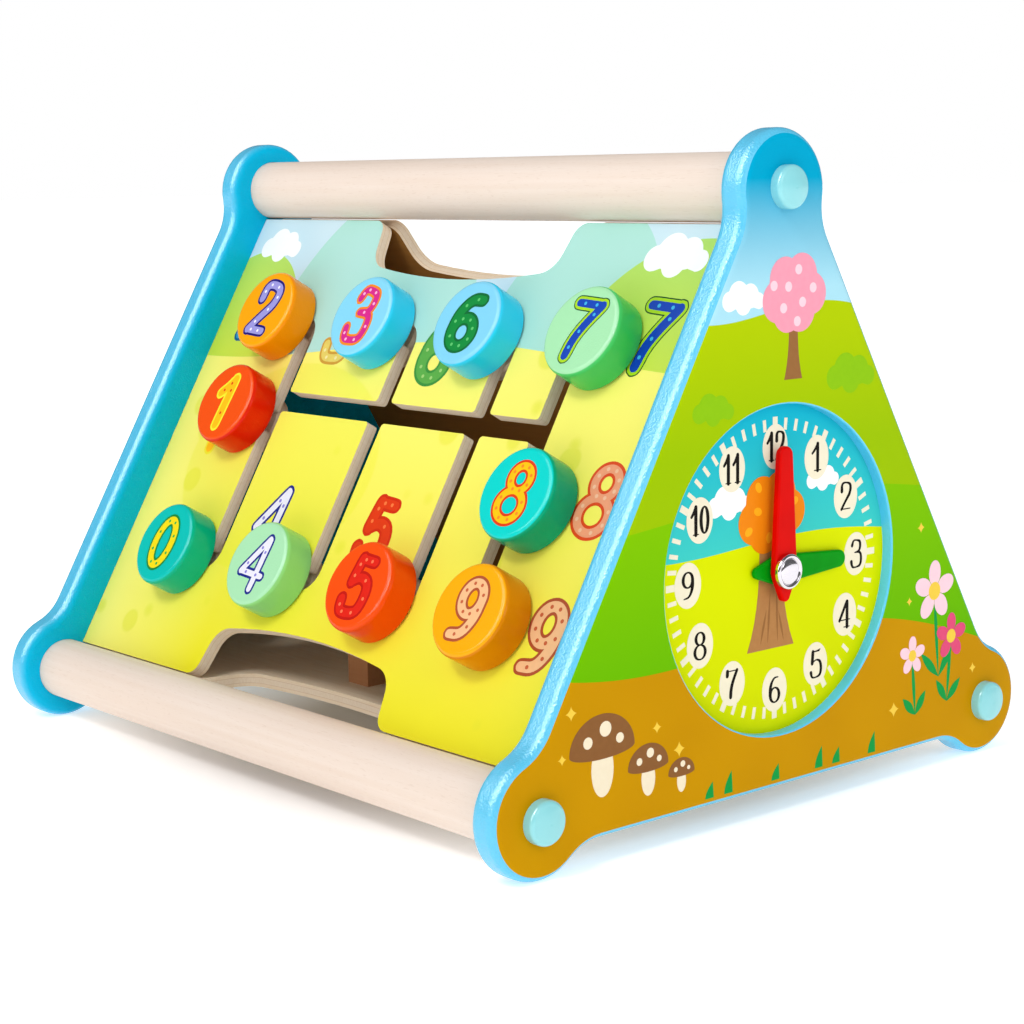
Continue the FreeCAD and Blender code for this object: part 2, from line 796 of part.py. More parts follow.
def inner_block():
    """Makes the small wooden block that stands on the bottom panel."""
    floor = f"{AXIS_HEIGHT} + {PANEL_INNER}"
    middle = "block_front - dowel_spacing / 2 + block_depth / 2"
    body = new_body("inner_block", x="block_x", y=middle, z=floor)
    foot = new_sketch(body, "block_foot")
    rectangle(foot, "-block_width / 2", "block_width / 2", "-block_depth / 2", "block_depth / 2")
    pad(body, foot, "block_height")
    chamfer(body, "block_edges", face_edges(body, "block_height"), "block_round")


# Places of the dowels and of the panels' middles
DOWELS = {
    "top": ("0", f"{AXIS_HEIGHT} + dowel_spacing * sqrt(3) / 2"),
    "front": ("-dowel_spacing / 2", AXIS_HEIGHT),
    "rear": ("dowel_spacing / 2", AXIS_HEIGHT),
}
FRONT_Y = "(-dowel_spacing / 4 + panel_inset * sqrt(3) / 2)"
SLOPE_Z = f"({AXIS_HEIGHT} + dowel_spacing * sqrt(3) / 4 - panel_inset / 2)"

fill_sheet()
clock_board()
plain_board()
for dowel_name, (dowel_y, dowel_z) in DOWELS.items():
    dowel(f"dowel_{dowel_name}", dowel_y, dowel_z)
maze_panel()
notched_panel("rear_panel", 300, f"-{FRONT_Y}", SLOPE_Z)
notched_panel("bottom_panel", 180, 0, f"{AXIS_HEIGHT} + panel_inset")
inner_block()
for slider_digit in POCKETS:
    slider(slider_digit)
clock_hand(
    "hour_hand", 90, HOUR_BASE,
    "hour_length", "hour_width", "hour_tip_width", "hour_tail", "hour_thickness",
)
clock_hand(
    "minute_hand", 0, MINUTE_BASE,
    "minute_length", "minute_width", "minute_tip_width", "minute_tail", "minute_thickness",
)
clock_pivot()
hand_washers()
dowel_screws()
screw_caps()
doc.recompute()

# Nothing is written unless every object and every sub-part is sound
for item in doc.Objects:
    if "Invalid" in item.State or "Error" in item.State:
        raise ValueError(f"{item.Label} did not build: {item.State}")
for part in parts:
    if part.Shape.isNull() or not part.Shape.isValid():
        raise ValueError(f"{part.Label} has no sound shape")

os.makedirs("parts", exist_ok=True)
for part in parts:
    part.Shape.exportStep(f"parts/{part.Label}.step")
print(f"{len(parts)} sub-parts written")
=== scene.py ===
import math

import bpy
from mathutils import Matrix, Vector


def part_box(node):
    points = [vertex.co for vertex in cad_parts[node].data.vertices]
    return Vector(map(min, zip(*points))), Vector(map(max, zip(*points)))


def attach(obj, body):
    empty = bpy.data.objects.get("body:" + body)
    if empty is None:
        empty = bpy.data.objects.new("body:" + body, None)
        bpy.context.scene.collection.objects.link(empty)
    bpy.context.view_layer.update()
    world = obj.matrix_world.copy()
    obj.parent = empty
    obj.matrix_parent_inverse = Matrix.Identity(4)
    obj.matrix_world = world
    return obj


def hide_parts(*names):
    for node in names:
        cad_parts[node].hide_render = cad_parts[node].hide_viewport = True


# The looks of a wooden activity triangle: a number maze on the front, a clock on one end board.
# Lengths are in metres; a design that lies on a surface is drawn in millimetres on its own plane.

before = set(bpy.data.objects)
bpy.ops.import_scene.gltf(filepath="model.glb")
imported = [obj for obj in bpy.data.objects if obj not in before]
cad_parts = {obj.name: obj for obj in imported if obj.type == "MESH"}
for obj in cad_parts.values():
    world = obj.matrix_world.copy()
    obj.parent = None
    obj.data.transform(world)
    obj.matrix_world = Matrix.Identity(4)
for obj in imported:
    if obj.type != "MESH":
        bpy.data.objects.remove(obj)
bpy.context.view_layer.update()

MM = 0.001
SLOPE = math.radians(60)
ALONG = Vector((1, 0, 0))
BACK = Vector((0, 1, 0))
UP = Vector((0, 0, 1))
OUT = Vector((0, -math.sin(SLOPE), math.cos(SLOPE)))
UP_SLOPE = Vector((0, math.cos(SLOPE), math.sin(SLOPE)))

# The camera that sees the toy as the photograph does, found from the dowels and the board outlines
CAMERA_AT = Vector((0.631829, -0.532638, 0.216517))
CAMERA_LOOK = Vector((-0.74909, 0.644002, -0.155325))
CAMERA_RIGHT = Vector((0.653698, 0.756593, -0.015654))
CAMERA_LENS = 76.02
SENSOR = 36.0


def middle(node):
    """Centre of a part's box."""
    low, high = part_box(node)
    return (low + high) / 2


def extent(node):
    """Size of a part's box."""
    low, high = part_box(node)
    return high - low


PANEL_THICKNESS = extent("bottom_panel").z
FRONT_FACE = middle("front_panel") + OUT * (PANEL_THICKNESS / 2)
CLOCK_CENTRE = middle("clock_pivot")
BOARD_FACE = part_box("end_board_clock")[1].x
BOARD_MIDDLE = middle("end_board_clock").x
DIAL_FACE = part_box("hand_washers")[0].x
DIAL_RADIUS = 56 * MM
BOARD_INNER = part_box("end_board_clock")[0].x
# The flat fronts of the number discs stand this far off the panel
DISC_LIFT = 13.2 * MM
DISC_FACE = FRONT_FACE + OUT * DISC_LIFT
DISC_NUMBERS = range(10)


def plane(origin, across, up):
    """Place of a design drawn in millimetres: x across, y up, z out of the surface."""
    normal = across.cross(up)
    turned = Matrix((across, up, normal)).transposed().to_4x4()
    return Matrix.Translation(origin) @ turned @ Matrix.Scale(MM, 4)


PANEL_PLANE = plane(FRONT_FACE, ALONG, UP_SLOPE)
BOARD_PLANE = plane(Vector((BOARD_FACE, CLOCK_CENTRE.y, CLOCK_CENTRE.z)), BACK, UP)
DIAL_PLANE = plane(Vector((DIAL_FACE, CLOCK_CENTRE.y, CLOCK_CENTRE.z)), BACK, UP)


def disc_plane(number):
    """The front face of a number disc, whose spindle stands square to the panel."""
    centre = middle(f"spindle_{number}")
    lift = (DISC_FACE - centre).dot(OUT)
    return plane(centre + OUT * lift, ALONG, UP_SLOPE)


def linear(colour):
    """Turns an sRGB hex colour into the linear colour of a socket."""
    values = [int(colour[i:i + 2], 16) / 255 for i in (1, 3, 5)]
    return [v / 12.92 if v <= 0.04045 else ((v + 0.055) / 1.055) ** 2.4 for v in values] + [1]


def darker(colour, share):
    """An sRGB hex colour with each of its parts brought down to a share."""
    return "#" + "".join(f"{round(int(colour[i:i + 2], 16) * share):02X}" for i in (1, 3, 5))


def add_node(tree, kind, inputs=None, **settings):
    """Adds a node, sets it up and feeds its inputs with values or with other nodes' outputs."""
    node = tree.nodes.new(kind)
    for name, value in settings.items():
        setattr(node, name, value)
    for key, value in (inputs or {}).items():
        if isinstance(value, bpy.types.NodeSocket):
            tree.links.new(value, node.inputs[key])
        else:
            node.inputs[key].default_value = value
    return node


def calculate(tree, operation, first, second=0.0, third=0.0):
    """One sum on numbers."""
    node = add_node(tree, "ShaderNodeMath", {0: first, 1: second, 2: third}, operation=operation)
    return node.outputs[0]


def mix(tree, factor, first, second):
    """Mixes two colours, given as hex or as outputs."""
    first, second = [linear(c) if isinstance(c, str) else c for c in (first, second)]
    inputs = {"Factor": factor, 6: first, 7: second}
    return add_node(tree, "ShaderNodeMix", inputs, data_type="RGBA").outputs[2]


def step(tree, value, edge, width):
    """0 below the edge and 1 above it, over a soft width."""
    inputs = {"Value": value, "From Min": edge - width / 2, "From Max": edge + width / 2}
    return add_node(tree, "ShaderNodeMapRange", inputs).outputs[0]


def cloudy(tree, place, size, detail, stretch=(1, 1, 1)):
    """Noise in blotches of about the given size, longer along the axes with a larger stretch."""
    scale = [1 / (size * s) for s in stretch]
    mapped = add_node(tree, "ShaderNodeMapping", {"Vector": place, "Scale": scale})
    inputs = {"Vector": mapped.outputs[0], "Scale": 1.0, "Detail": detail}
    return add_node(tree, "ShaderNodeTexNoise", inputs).outputs["Fac"]


def relief(tree, height, depth, strength):
    """Bump from a height pattern of the given depth."""
    inputs = {"Height": height, "Distance": depth, "Strength": strength}
    return add_node(tree, "ShaderNodeBump", inputs).outputs[0]


def along(tree, place, direction, origin=0.0):
    """Distance along a direction, from an origin on it."""
    node = add_node(tree, "ShaderNodeVectorMath", {0: place, 1: direction}, operation="DOT_PRODUCT")
    return calculate(tree, "SUBTRACT", node.outputs["Value"], origin)


def new_material(name, **surface):
    """A material with one shader, whose plain values are set on the shader's own sockets."""
    material = bpy.data.materials.new(name)
    material.use_nodes = True
    tree = material.node_tree
    tree.nodes.clear()
    shader = add_node(tree, "ShaderNodeBsdfPrincipled")
    for socket, value in surface.items():
        shader.inputs[socket.replace("_", " ")].default_value = value
    output = add_node(tree, "ShaderNodeOutputMaterial")
    tree.links.new(shader.outputs[0], output.inputs["Surface"])
    place = add_node(tree, "ShaderNodeTexCoord").outputs["Object"]
    return material, tree, shader, place


def finish_material(tree, shader, colour, roughness=None, normal=None):
    """Feeds the shader with its patterns."""
    tree.links.new(colour, shader.inputs["Base Color"])
    if roughness is not None:
        tree.links.new(roughness, shader.inputs["Roughness"])
    if normal is not None:
        tree.links.new(normal, shader.inputs["Normal"])


# Lacquer sprayed on board leaves a fine orange peel that breaks long highlights into specks
PEEL_SIZE = 0.7 * MM
PEEL_DEPTH = 0.2 * MM


def peel(tree, place, strength):
    """The surface of sprayed lacquer."""
    return relief(tree, cloudy(tree, place, PEEL_SIZE, 1.0), PEEL_DEPTH, strength)


# Colours of a print meet over this width, in millimetres
PRINT_EDGE = 0.15


def hill_line(tree, across, level, slope, rise, length, start):
    """Height of a rolling line: a level and a slope, and a wave with its rise, length and start."""
    height = calculate(tree, "MULTIPLY_ADD", across, slope, level * MM)
    angle = calculate(tree, "MULTIPLY_ADD", across, 1 / (length * MM), start)
    return calculate(tree, "MULTIPLY_ADD", calculate(tree, "SINE", angle), rise * MM, height)


def below(tree, up, line):
    """1 under a line and 0 over it."""
    return step(tree, calculate(tree, "SUBTRACT", line, up), 0.0, PRINT_EDGE * MM)


def dome(tree, across, up, centre, width, height, soft=PRINT_EDGE):
    """1 inside an oval hill, whose centre, half width and half height are in millimetres."""
    x = calculate(tree, "DIVIDE", calculate(tree, "SUBTRACT", across, centre[0] * MM), width * MM)
    y = calculate(tree, "DIVIDE", calculate(tree, "SUBTRACT", up, centre[1] * MM), height * MM)
    squares = calculate(tree, "MULTIPLY_ADD", x, x, calculate(tree, "MULTIPLY", y, y))
    inward = calculate(tree, "MULTIPLY", calculate(tree, "SQRT", squares), -height * MM)
    return step(tree, inward, -height * MM, soft * MM)


# A panel's grain is this much longer along it than across
GRAIN_STRETCH = (14, 1, 1)
# The core meets the face veneers this far from the panel's middle, and the glue line there reaches
# this far to either side, as shares of the panel's thickness
VENEER_START = 0.22
GLUE_REACH = 0.012


def plywood_edge(tree, place, depth, thickness):
    """Colour of birch plywood: pale veneers, thin brown glue lines between them, a streaky core."""
    grain = cloudy(tree, place, 1.2 * MM, 3.0, GRAIN_STRETCH)
    face = mix(tree, grain, "#FAEBD4", "#EBD3B0")
    core = mix(tree, cloudy(tree, place, 0.5 * MM, 3.0, (1, 3, 3)), "#F8EAD6", "#E8D2B4")
    share = calculate(tree, "DIVIDE", depth, thickness)
    off_centre = calculate(tree, "ABSOLUTE", calculate(tree, "ADD", share, 0.5))
    colour = mix(tree, step(tree, off_centre, VENEER_START, 0.04), core, face)
    glue = calculate(tree, "ABSOLUTE", calculate(tree, "SUBTRACT", off_centre, VENEER_START))
    return mix(tree, step(tree, glue, GLUE_REACH, 0.02), "#D2B490", colour)


def birch_plywood(name, direction, origin, shaded_inside=False, tint="#FFFFFF"):
    """Sanded three-layer birch plywood: pale satin faces with soft grain and striped edges.
    The face inside the toy can be painted a deeper brown, as painted shade of the closed inside,
    and a tint darkens a whole piece."""
    material, tree, shader, place = new_material(
        name, Roughness=0.6, IOR=1.5, Specular_IOR_Level=0.06)
    depth = along(tree, place, direction, origin)
    colour = plywood_edge(tree, place, depth, PANEL_THICKNESS)
    # The face turned into the toy is painted a deeper brown: painted shade of the closed inside
    if shaded_inside:
        shade_grain = cloudy(tree, place, 2.0 * MM, 3.0, GRAIN_STRETCH)
        painted_shade = mix(tree, shade_grain, "#BC8444", "#A87438")
        colour = mix(tree, step(tree, depth, 0.06 * MM - PANEL_THICKNESS, 0.04 * MM), painted_shade, colour)
    normal = relief(tree, cloudy(tree, place, 0.6 * MM, 3.0, GRAIN_STRETCH), 0.05 * MM, 0.5)
    inputs = {"Factor": 1.0, 6: colour, 7: linear(tint)}
    tinted = add_node(tree, "ShaderNodeMix", inputs, data_type="RGBA", blend_type="MULTIPLY")
    finish_material(tree, shader, tinted.outputs[2], normal=normal)
    return material


# Spacing of the faint round spots on the meadow
SPOT_SPACING = 24 * MM


def printed_plywood():
    """Birch plywood with a satin print on its front: a yellow meadow under hills and a pale sky."""
    material, tree, shader, place = new_material(
        "printed_birch_plywood", IOR=1.5, Specular_IOR_Level=0.06, Roughness=0.42)
    depth = along(tree, place, OUT, FRONT_FACE.dot(OUT))
    across = along(tree, place, ALONG)
    up = along(tree, place, UP_SLOPE, FRONT_FACE.dot(UP_SLOPE))
    wash = cloudy(tree, place, 45 * MM, 1.0)
    sky = mix(tree, wash, "#B8DCEA", "#D6EAF2")
    ridge = mix(tree, wash, "#A4DCCB", "#B4E2DC")
    left_ridge = dome(tree, across, up, (-42, 38), 62, 78)
    right_ridge = dome(tree, across, up, (72, 40), 44, 64)
    colour = mix(tree, calculate(tree, "MAXIMUM", left_ridge, right_ridge), sky, ridge)
    lime = mix(tree, step(tree, up, 66 * MM, 60 * MM), "#C9E046", "#A9DA6A")
    left_hill = dome(tree, across, up, (-126, 30), 40, 52)
    right_hill = dome(tree, across, up, (126, 30), 56, 62)
    colour = mix(tree, calculate(tree, "MAXIMUM", left_hill, right_hill), colour, lime)
    meadow = mix(tree, step(tree, up, -20 * MM, 150 * MM), "#EBE31A", "#FAF27A")
    # Paler towards the left end: painted light that offsets the shade of the left end board
    meadow = mix(tree, step(tree, across, -96 * MM, 70 * MM), "#F8F278", meadow)
    spots = add_node(tree, "ShaderNodeTexVoronoi", {"Vector": place, "Scale": 1 / SPOT_SPACING})
    clear = step(tree, spots.outputs["Distance"], 0.22, 0.05)
    meadow = mix(tree, clear, mix(tree, 0.5, meadow, "#DEDE28"), meadow)
    rise = dome(tree, across, up, (-60, -10), 60, 44, 1.0)
    meadow = mix(tree, calculate(tree, "MULTIPLY", rise, 0.35), meadow, "#E6E61C")
    near_line = hill_line(tree, across, 42, 0.03, 5, 46, 1.2)
    colour = mix(tree, below(tree, up, near_line), colour, meadow)
    printed = step(tree, depth, -0.04 * MM, 0.02 * MM)
    colour = mix(tree, printed, plywood_edge(tree, place, depth, PANEL_THICKNESS), colour)
    roughness = calculate(tree, "MULTIPLY_ADD", printed, -0.25, 0.6)
    normal = relief(tree, cloudy(tree, place, 0.7 * MM, 2.0, (10, 1, 1)), 0.03 * MM, 0.3)
    finish_material(tree, shader, colour, roughness, normal)
    return material


def beech():
    """Turned beech, sanded and waxed: very pale, with faint long grain and tiny dark flecks."""
    material, tree, shader, place = new_material(
        "waxed_beech", Roughness=0.5, IOR=1.5, Specular_IOR_Level=0.1)
    grain = cloudy(tree, place, 2.2 * MM, 4.0, (40, 1, 1))
    colour = mix(tree, step(tree, grain, 0.5, 0.5), "#E9DBD0", "#E3D2C4")
    warm = cloudy(tree, place, 30 * MM, 1.0, (3, 1, 1))
    colour = mix(tree, calculate(tree, "MULTIPLY", warm, 0.35), colour, "#EBD0BC")
    flecks = step(tree, cloudy(tree, place, 0.35 * MM, 0.0, (9, 1, 1)), 0.72, 0.06)
    colour = mix(tree, calculate(tree, "MULTIPLY", flecks, 0.12), colour, "#B89878")
    normal = relief(tree, grain, 0.05 * MM, 0.5)
    finish_material(tree, shader, colour, normal=normal)
    return material


# Where a board's rounded inner edge turns into its rim, beyond its inner face, and over what width
RIM_START = 1.6 * MM
RIM_WIDTH = 2.4 * MM


def off_inner_face(tree, out):
    """0 on a board's inner face and 1 on its rim and outer face."""
    return step(tree, out, BOARD_INNER + RIM_START, RIM_WIDTH)


def from_middle(tree, place):
    """Distance from the toy's middle, to either end."""
    return calculate(tree, "ABSOLUTE", along(tree, place, ALONG))


def sprayed_blue(tree, place, dark, light):
    """Sky blue lacquer, painted deeper on the boards' inner faces as painted shade of the inside.
    """
    outside = mix(tree, cloudy(tree, place, 30 * MM, 1.0), dark, light)
    # The deeper blue on the inner faces is painted shade
    return mix(tree, off_inner_face(tree, from_middle(tree, place)), "#00B2DC", outside)


def painted_board():
    """Solid board sprayed with glossy lacquer: a bright colour with painted shade on its inner
    face, and broken highlights.
    """
    material, tree, shader, place = new_material("lacquered_board", Roughness=0.24, IOR=1.5)
    rim = off_inner_face(tree, from_middle(tree, place))
    shine = calculate(tree, "MULTIPLY_ADD", rim, 0.8, 0.1)
    tree.links.new(shine, shader.inputs["Specular IOR Level"])
    colour = sprayed_blue(tree, place, "#40BAE4", "#54C4EA")
    finish_material(tree, shader, colour, normal=peel(tree, place, 1.0))
    return material


# The print runs this far down the rounded outer edge of the board, but not within this of the dial
PRINT_WRAP = 0.34 * MM
DIAL_MARGIN = 4 * MM
# The recess's wall stands within this of the dial's rim
WALL_MARGIN = 1 * MM


def printed_board():
    """The same lacquered board with its outer face printed: sky, rolling hills and an ochre path,
    and in the round recess a dial with its own sky over a lime meadow."""
    material, tree, shader, place = new_material("printed_lacquered_board", IOR=1.5)
    across = along(tree, place, BACK, CLOCK_CENTRE.y)
    up = along(tree, place, UP, CLOCK_CENTRE.z)
    out = along(tree, place, ALONG)
    wash = cloudy(tree, place, 40 * MM, 1.0)
    sky = mix(tree, step(tree, up, 112 * MM, 36 * MM), "#A8DCEC", "#00A2CA")
    hills = mix(tree, step(tree, up, 62 * MM, 40 * MM), "#98BE02", "#AEC802")
    far_line = hill_line(tree, across, 86, -0.08, 5, 20, 0.4)
    colour = mix(tree, below(tree, up, far_line), sky, hills)
    green = mix(tree, step(tree, up, 0.0, 90 * MM), "#5CB200", "#86C400")
    mid_line = hill_line(tree, across, 22, -0.02, 5, 40, 1.2)
    colour = mix(tree, below(tree, up, mid_line), colour, green)
    ochre = mix(tree, wash, "#CC9602", "#BC8602")
    ground_line = hill_line(tree, across, -26, -0.13, 9, 42, 0.5)
    colour = mix(tree, below(tree, up, ground_line), colour, ochre)
    square = calculate(tree, "MULTIPLY_ADD", across, across, calculate(tree, "MULTIPLY", up, up))
    past_dial = calculate(tree, "GREATER_THAN", square, (DIAL_RADIUS + DIAL_MARGIN) ** 2)
    depth = calculate(tree, "SUBTRACT", out, BOARD_FACE)
    depth = calculate(tree, "MULTIPLY_ADD", past_dial, PRINT_WRAP, depth)
    printed = step(tree, depth, -0.05 * MM, 0.02 * MM)
    colour = mix(tree, printed, sprayed_blue(tree, place, "#4CBCE4", "#60C6EA"), colour)
    in_recess = calculate(tree, "LESS_THAN", square, (DIAL_RADIUS + WALL_MARGIN) ** 2)
    past_middle = calculate(tree, "GREATER_THAN", out, BOARD_MIDDLE)
    wall = calculate(tree, "MULTIPLY", in_recess, past_middle)
    wall = calculate(tree, "MULTIPLY", wall, calculate(tree, "SUBTRACT", 1.0, printed))
    colour = mix(tree, wall, colour, "#54C6F0")
    dial_sky = mix(tree, step(tree, up, 30 * MM, 50 * MM), "#42CCC2", "#10B2CC")
    dial_ground = mix(tree, step(tree, up, -30 * MM, 50 * MM), "#CEDA00", "#D8E400")
    dial_line = hill_line(tree, across, 9, -0.03, 2.5, 24, 0.6)
    dial = mix(tree, below(tree, up, dial_line), dial_sky, dial_ground)
    on_dial = calculate(tree, "LESS_THAN", out, DIAL_FACE + 0.05 * MM)
    for inside in (calculate(tree, "LESS_THAN", square, DIAL_RADIUS ** 2), past_middle):
        on_dial = calculate(tree, "MULTIPLY", on_dial, inside)
    colour = mix(tree, on_dial, colour, dial)
    bare = calculate(tree, "SUBTRACT", 1.0, calculate(tree, "MAXIMUM", printed, on_dial))
    rim = calculate(tree, "MULTIPLY", off_inner_face(tree, out), bare)
    shine = calculate(tree, "MULTIPLY_ADD", rim, 0.63, 0.02)
    tree.links.new(shine, shader.inputs["Specular IOR Level"])
    roughness = calculate(tree, "MULTIPLY_ADD", rim, -0.08, 0.32)
    strength = calculate(tree, "MULTIPLY_ADD", rim, 0.85, 0.15)
    finish_material(tree, shader, colour, roughness, peel(tree, place, strength))
    return material


def disc_paint(number, face, side):
    """A turned wooden disc dipped in gloss enamel, its flat face printed in a second shade."""
    material, tree, shader, place = new_material(
        f"enamelled_disc_{number}", Roughness=0.16, IOR=1.5, Specular_IOR_Level=0.15)
    depth = along(tree, place, OUT, DISC_FACE.dot(OUT))
    tone = calculate(tree, "MULTIPLY", cloudy(tree, place, 12 * MM, 1.0), 0.25)
    colour = mix(tree, step(tree, depth, -0.6 * MM, 0.3 * MM), mix(tree, tone, side, face), face)
    finish_material(tree, shader, colour, normal=peel(tree, place, 0.3))
    return material


def ink(name, colour, shade=None):
    """Screen-printed ink under varnish: an even colour with a faint mottle."""
    material, tree, shader, place = new_material(
        name, Roughness=0.32, IOR=1.5, Specular_IOR_Level=0.05)
    mottle = calculate(tree, "MULTIPLY", cloudy(tree, place, 2.0 * MM, 2.0), 0.5)
    colour = mix(tree, mottle, colour, shade or darker(colour, 0.9))
    finish_material(tree, shader, colour)
    return material


def moulded_plastic(name, colour, shade, roughness, shine):
    """Injection-moulded ABS: clean colour, soft gloss and a very fine skin."""
    material, tree, shader, place = new_material(
        name, Roughness=roughness, IOR=1.53, Specular_IOR_Level=shine)
    tone = cloudy(tree, place, 8 * MM, 1.0)
    normal = relief(tree, cloudy(tree, place, 0.5 * MM, 1.0), 0.01 * MM, 0.5)
    finish_material(tree, shader, mix(tree, tone, colour, shade), normal=normal)
    return material


def bright_metal(name, colour, shade, roughness, scratch_depth):
    """Plated or plain steel: mirror-like, with faint polishing marks."""
    material, tree, shader, place = new_material(name, Metallic=1.0, Roughness=roughness)
    marks = cloudy(tree, place, 0.3 * MM, 2.0, (1, 8, 1))
    normal = relief(tree, marks, scratch_depth, 0.5)
    finish_material(tree, shader, mix(tree, marks, colour, shade), normal=normal)
    return material


BEECH = beech()
PAINTED_BOARD = painted_board()
PRINTED_BOARD = printed_board()
PRINTED_PLYWOOD = printed_plywood()
REAR_OUT = Vector((0, math.sin(SLOPE), math.cos(SLOPE)))
REAR_FACE = middle("rear_panel") + REAR_OUT * (PANEL_THICKNESS / 2)
REAR_DEPTH = REAR_FACE.dot(REAR_OUT)
# The rear panel's inner face is painted a deeper brown as painted shade
REAR_PLYWOOD = birch_plywood("birch_plywood_rear", REAR_OUT, REAR_DEPTH, shaded_inside=True)
BOTTOM_PLYWOOD = birch_plywood("birch_plywood_bottom", -UP, -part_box("bottom_panel")[0].z)
BLOCK_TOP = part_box("inner_block")[1].z
BLOCK_WOOD = birch_plywood("birch_plywood_block", UP, BLOCK_TOP, tint="#D0A080")
RETAINING_DISC_HALF = 3 * MM
RETAINING_DISC_FACE = middle("retaining_disc_0") + OUT * RETAINING_DISC_HALF
DISC_PLYWOOD = birch_plywood("birch_plywood_disc", OUT, RETAINING_DISC_FACE.dot(OUT))
AQUA_CAP = moulded_plastic("aqua_plastic", "#90D8DE", "#84D0D8", 0.22, 0.6)
RED_PLASTIC = moulded_plastic("red_plastic", "#DE0600", "#CC0200", 0.28, 0.045)
GREEN_PLASTIC = moulded_plastic("green_plastic", "#009C12", "#00860C", 0.28, 0.045)
CHROME = bright_metal("chromed_steel", "#E6E2E8", "#D8D4DC", 0.1, 0.001 * MM)
STEEL = bright_metal("zinc_plated_steel", "#C9CCCE", "#AEB2B6", 0.3, 0.02 * MM)

# Face and side of each number disc
DISC_COLOURS = {
    0: ("#00BEB4", "#00AE80"),
    1: ("#F0500A", "#DC1400"),
    2: ("#F8A400", "#EE8A00"),
    3: ("#84D4F2", "#00C8F0"),
    4: ("#A8E2B2", "#88D46E"),
    5: ("#F84E06", "#E84A00"),
    6: ("#80D0F0", "#00C8F0"),
    7: ("#A4E2AE", "#1CBC4C"),
    8: ("#00D0C8", "#00965E"),
    9: ("#FAAA00", "#D87C00"),
}

# Fill, outline and dot of each digit on a disc, and those on the panel that are printed paler
DIGIT_COLOURS = {
    0: ("#F4DE10", "#138A3A", "#2FB24A"),
    1: ("#FFC010", "#F5EC30", "#E0480A"),
    2: ("#9C98DE", "#1E1A7A", "#F4F2FF"),
    3: ("#D8288C", "#F28A1E", "#FFB8E0"),
    4: ("#ECEAF8", "#1E2A8C", "#8C86D8"),
    5: ("#E3200E", "#C41204", "#FF7A50"),
    6: ("#0E8C3C", "#0A6A34", "#5CC870"),
    7: ("#1044B4", "#A8D820", "#3FB4E8"),
    8: ("#FCC400", "#DE3A0A", "#FF8A1E"),
    9: ("#F4BE8A", "#B0502E", "#C8603A"),
}
PALE_DIGIT_COLOURS = {
    2: ("#2E9CC8", "#12608E", "#BCE6F4"),
    3: ("#EBD468", "#D6A03C", "#F8ECA8"),
    5: ("#E23A0A", "#D42C06", "#F87A3C"),
    6: ("#5EAE4A", "#3E9440", "#A2D478"),
    8: ("#F2A078", "#E04A1E", "#F6C09C"),
}
# Edge round the outline, where there is one
DIGIT_EDGES = {7: "#145226"}
# Breadth and boldness of the digits that differ from the others
DIGIT_BUILDS = {
    0: (1.15, 0.95), 3: (1.0, 0.85), 4: (1.1, 0.72), 6: (1.18, 1.1), 7: (1.15, 0.95), 8: (1.1, 0.8),
}


def colour_nodes(material, *nodes):
    """Gives parts their finish."""
    for name in nodes:
        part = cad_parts[name]
        for slot in part.material_slots:
            slot.material = material


colour_nodes(BEECH, "dowel_top", "dowel_front", "dowel_rear")
colour_nodes(BEECH, *[f"spindle_{n}" for n in DISC_NUMBERS])
colour_nodes(PAINTED_BOARD, "end_board_plain")
colour_nodes(PRINTED_BOARD, "end_board_clock")
colour_nodes(PRINTED_PLYWOOD, "front_panel")
colour_nodes(REAR_PLYWOOD, "rear_panel")
colour_nodes(BOTTOM_PLYWOOD, "bottom_panel")
colour_nodes(BLOCK_WOOD, "inner_block")
colour_nodes(DISC_PLYWOOD, *[f"retaining_disc_{n}" for n in DISC_NUMBERS])
for end in ("top", "front", "rear"):
    colour_nodes(AQUA_CAP, f"screw_cap_clock_{end}", f"screw_cap_plain_{end}")
colour_nodes(RED_PLASTIC, "minute_hand")
colour_nodes(GREEN_PLASTIC, "hour_hand")
colour_nodes(CHROME, "clock_pivot")
colour_nodes(STEEL, "clock_pivot_nut", "hand_washers", "dowel_screws")
for number, (face, side) in DISC_COLOURS.items():
    colour_nodes(disc_paint(number, face, side), f"number_disc_{number}")

# Each digit in a cell 0.6 wide and 1 tall: lines of points, and ovals as (centre, radii)
DIGIT_LINES = {
    "0": [],
    "1": [[(0.06, 0.66), (0.22, 0.8), (0.36, 1.0)], [(0.36, 1.0), (0.36, 0.5), (0.36, 0.0)]],
    "2": [[(0.08, 0.72), (0.08, 1.02), (0.34, 1.05), (0.6, 0.96), (0.56, 0.62), (0.34, 0.38),
           (0.06, 0.02)],
          [(0.06, 0.02), (0.3, 0.02), (0.56, 0.02)]],
    "3": [[(0.09, 0.84), (0.16, 1.04), (0.36, 1.03), (0.58, 0.96), (0.54, 0.58), (0.24, 0.55)],
          [(0.24, 0.55), (0.62, 0.56), (0.62, 0.02), (0.3, -0.04), (0.1, -0.02), (0.05, 0.2)]],
    "4": [[(0.42, 1.0), (0.2, 0.62), (0.0, 0.28)], [(0.0, 0.28), (0.3, 0.28), (0.6, 0.28)],
          [(0.44, 0.98), (0.44, 0.5), (0.44, 0.0)]],
    "5": [[(0.52, 0.98), (0.34, 0.98), (0.16, 0.98)], [(0.16, 0.98), (0.14, 0.76), (0.12, 0.54)],
          [(0.12, 0.54), (0.34, 0.68), (0.62, 0.56), (0.62, 0.04), (0.32, -0.04), (0.1, -0.02),
           (0.05, 0.18)]],
    "6": [[(0.5, 0.96), (0.26, 0.96), (0.07, 0.66), (0.06, 0.3)]],
    "7": [[(0.05, 0.98), (0.3, 0.98), (0.56, 0.98)],
          [(0.56, 0.98), (0.36, 0.62), (0.24, 0.3), (0.22, 0.0)]],
    "8": [],
    "9": [[(0.54, 0.7), (0.54, 0.38), (0.38, 0.06), (0.1, 0.02)]],
}
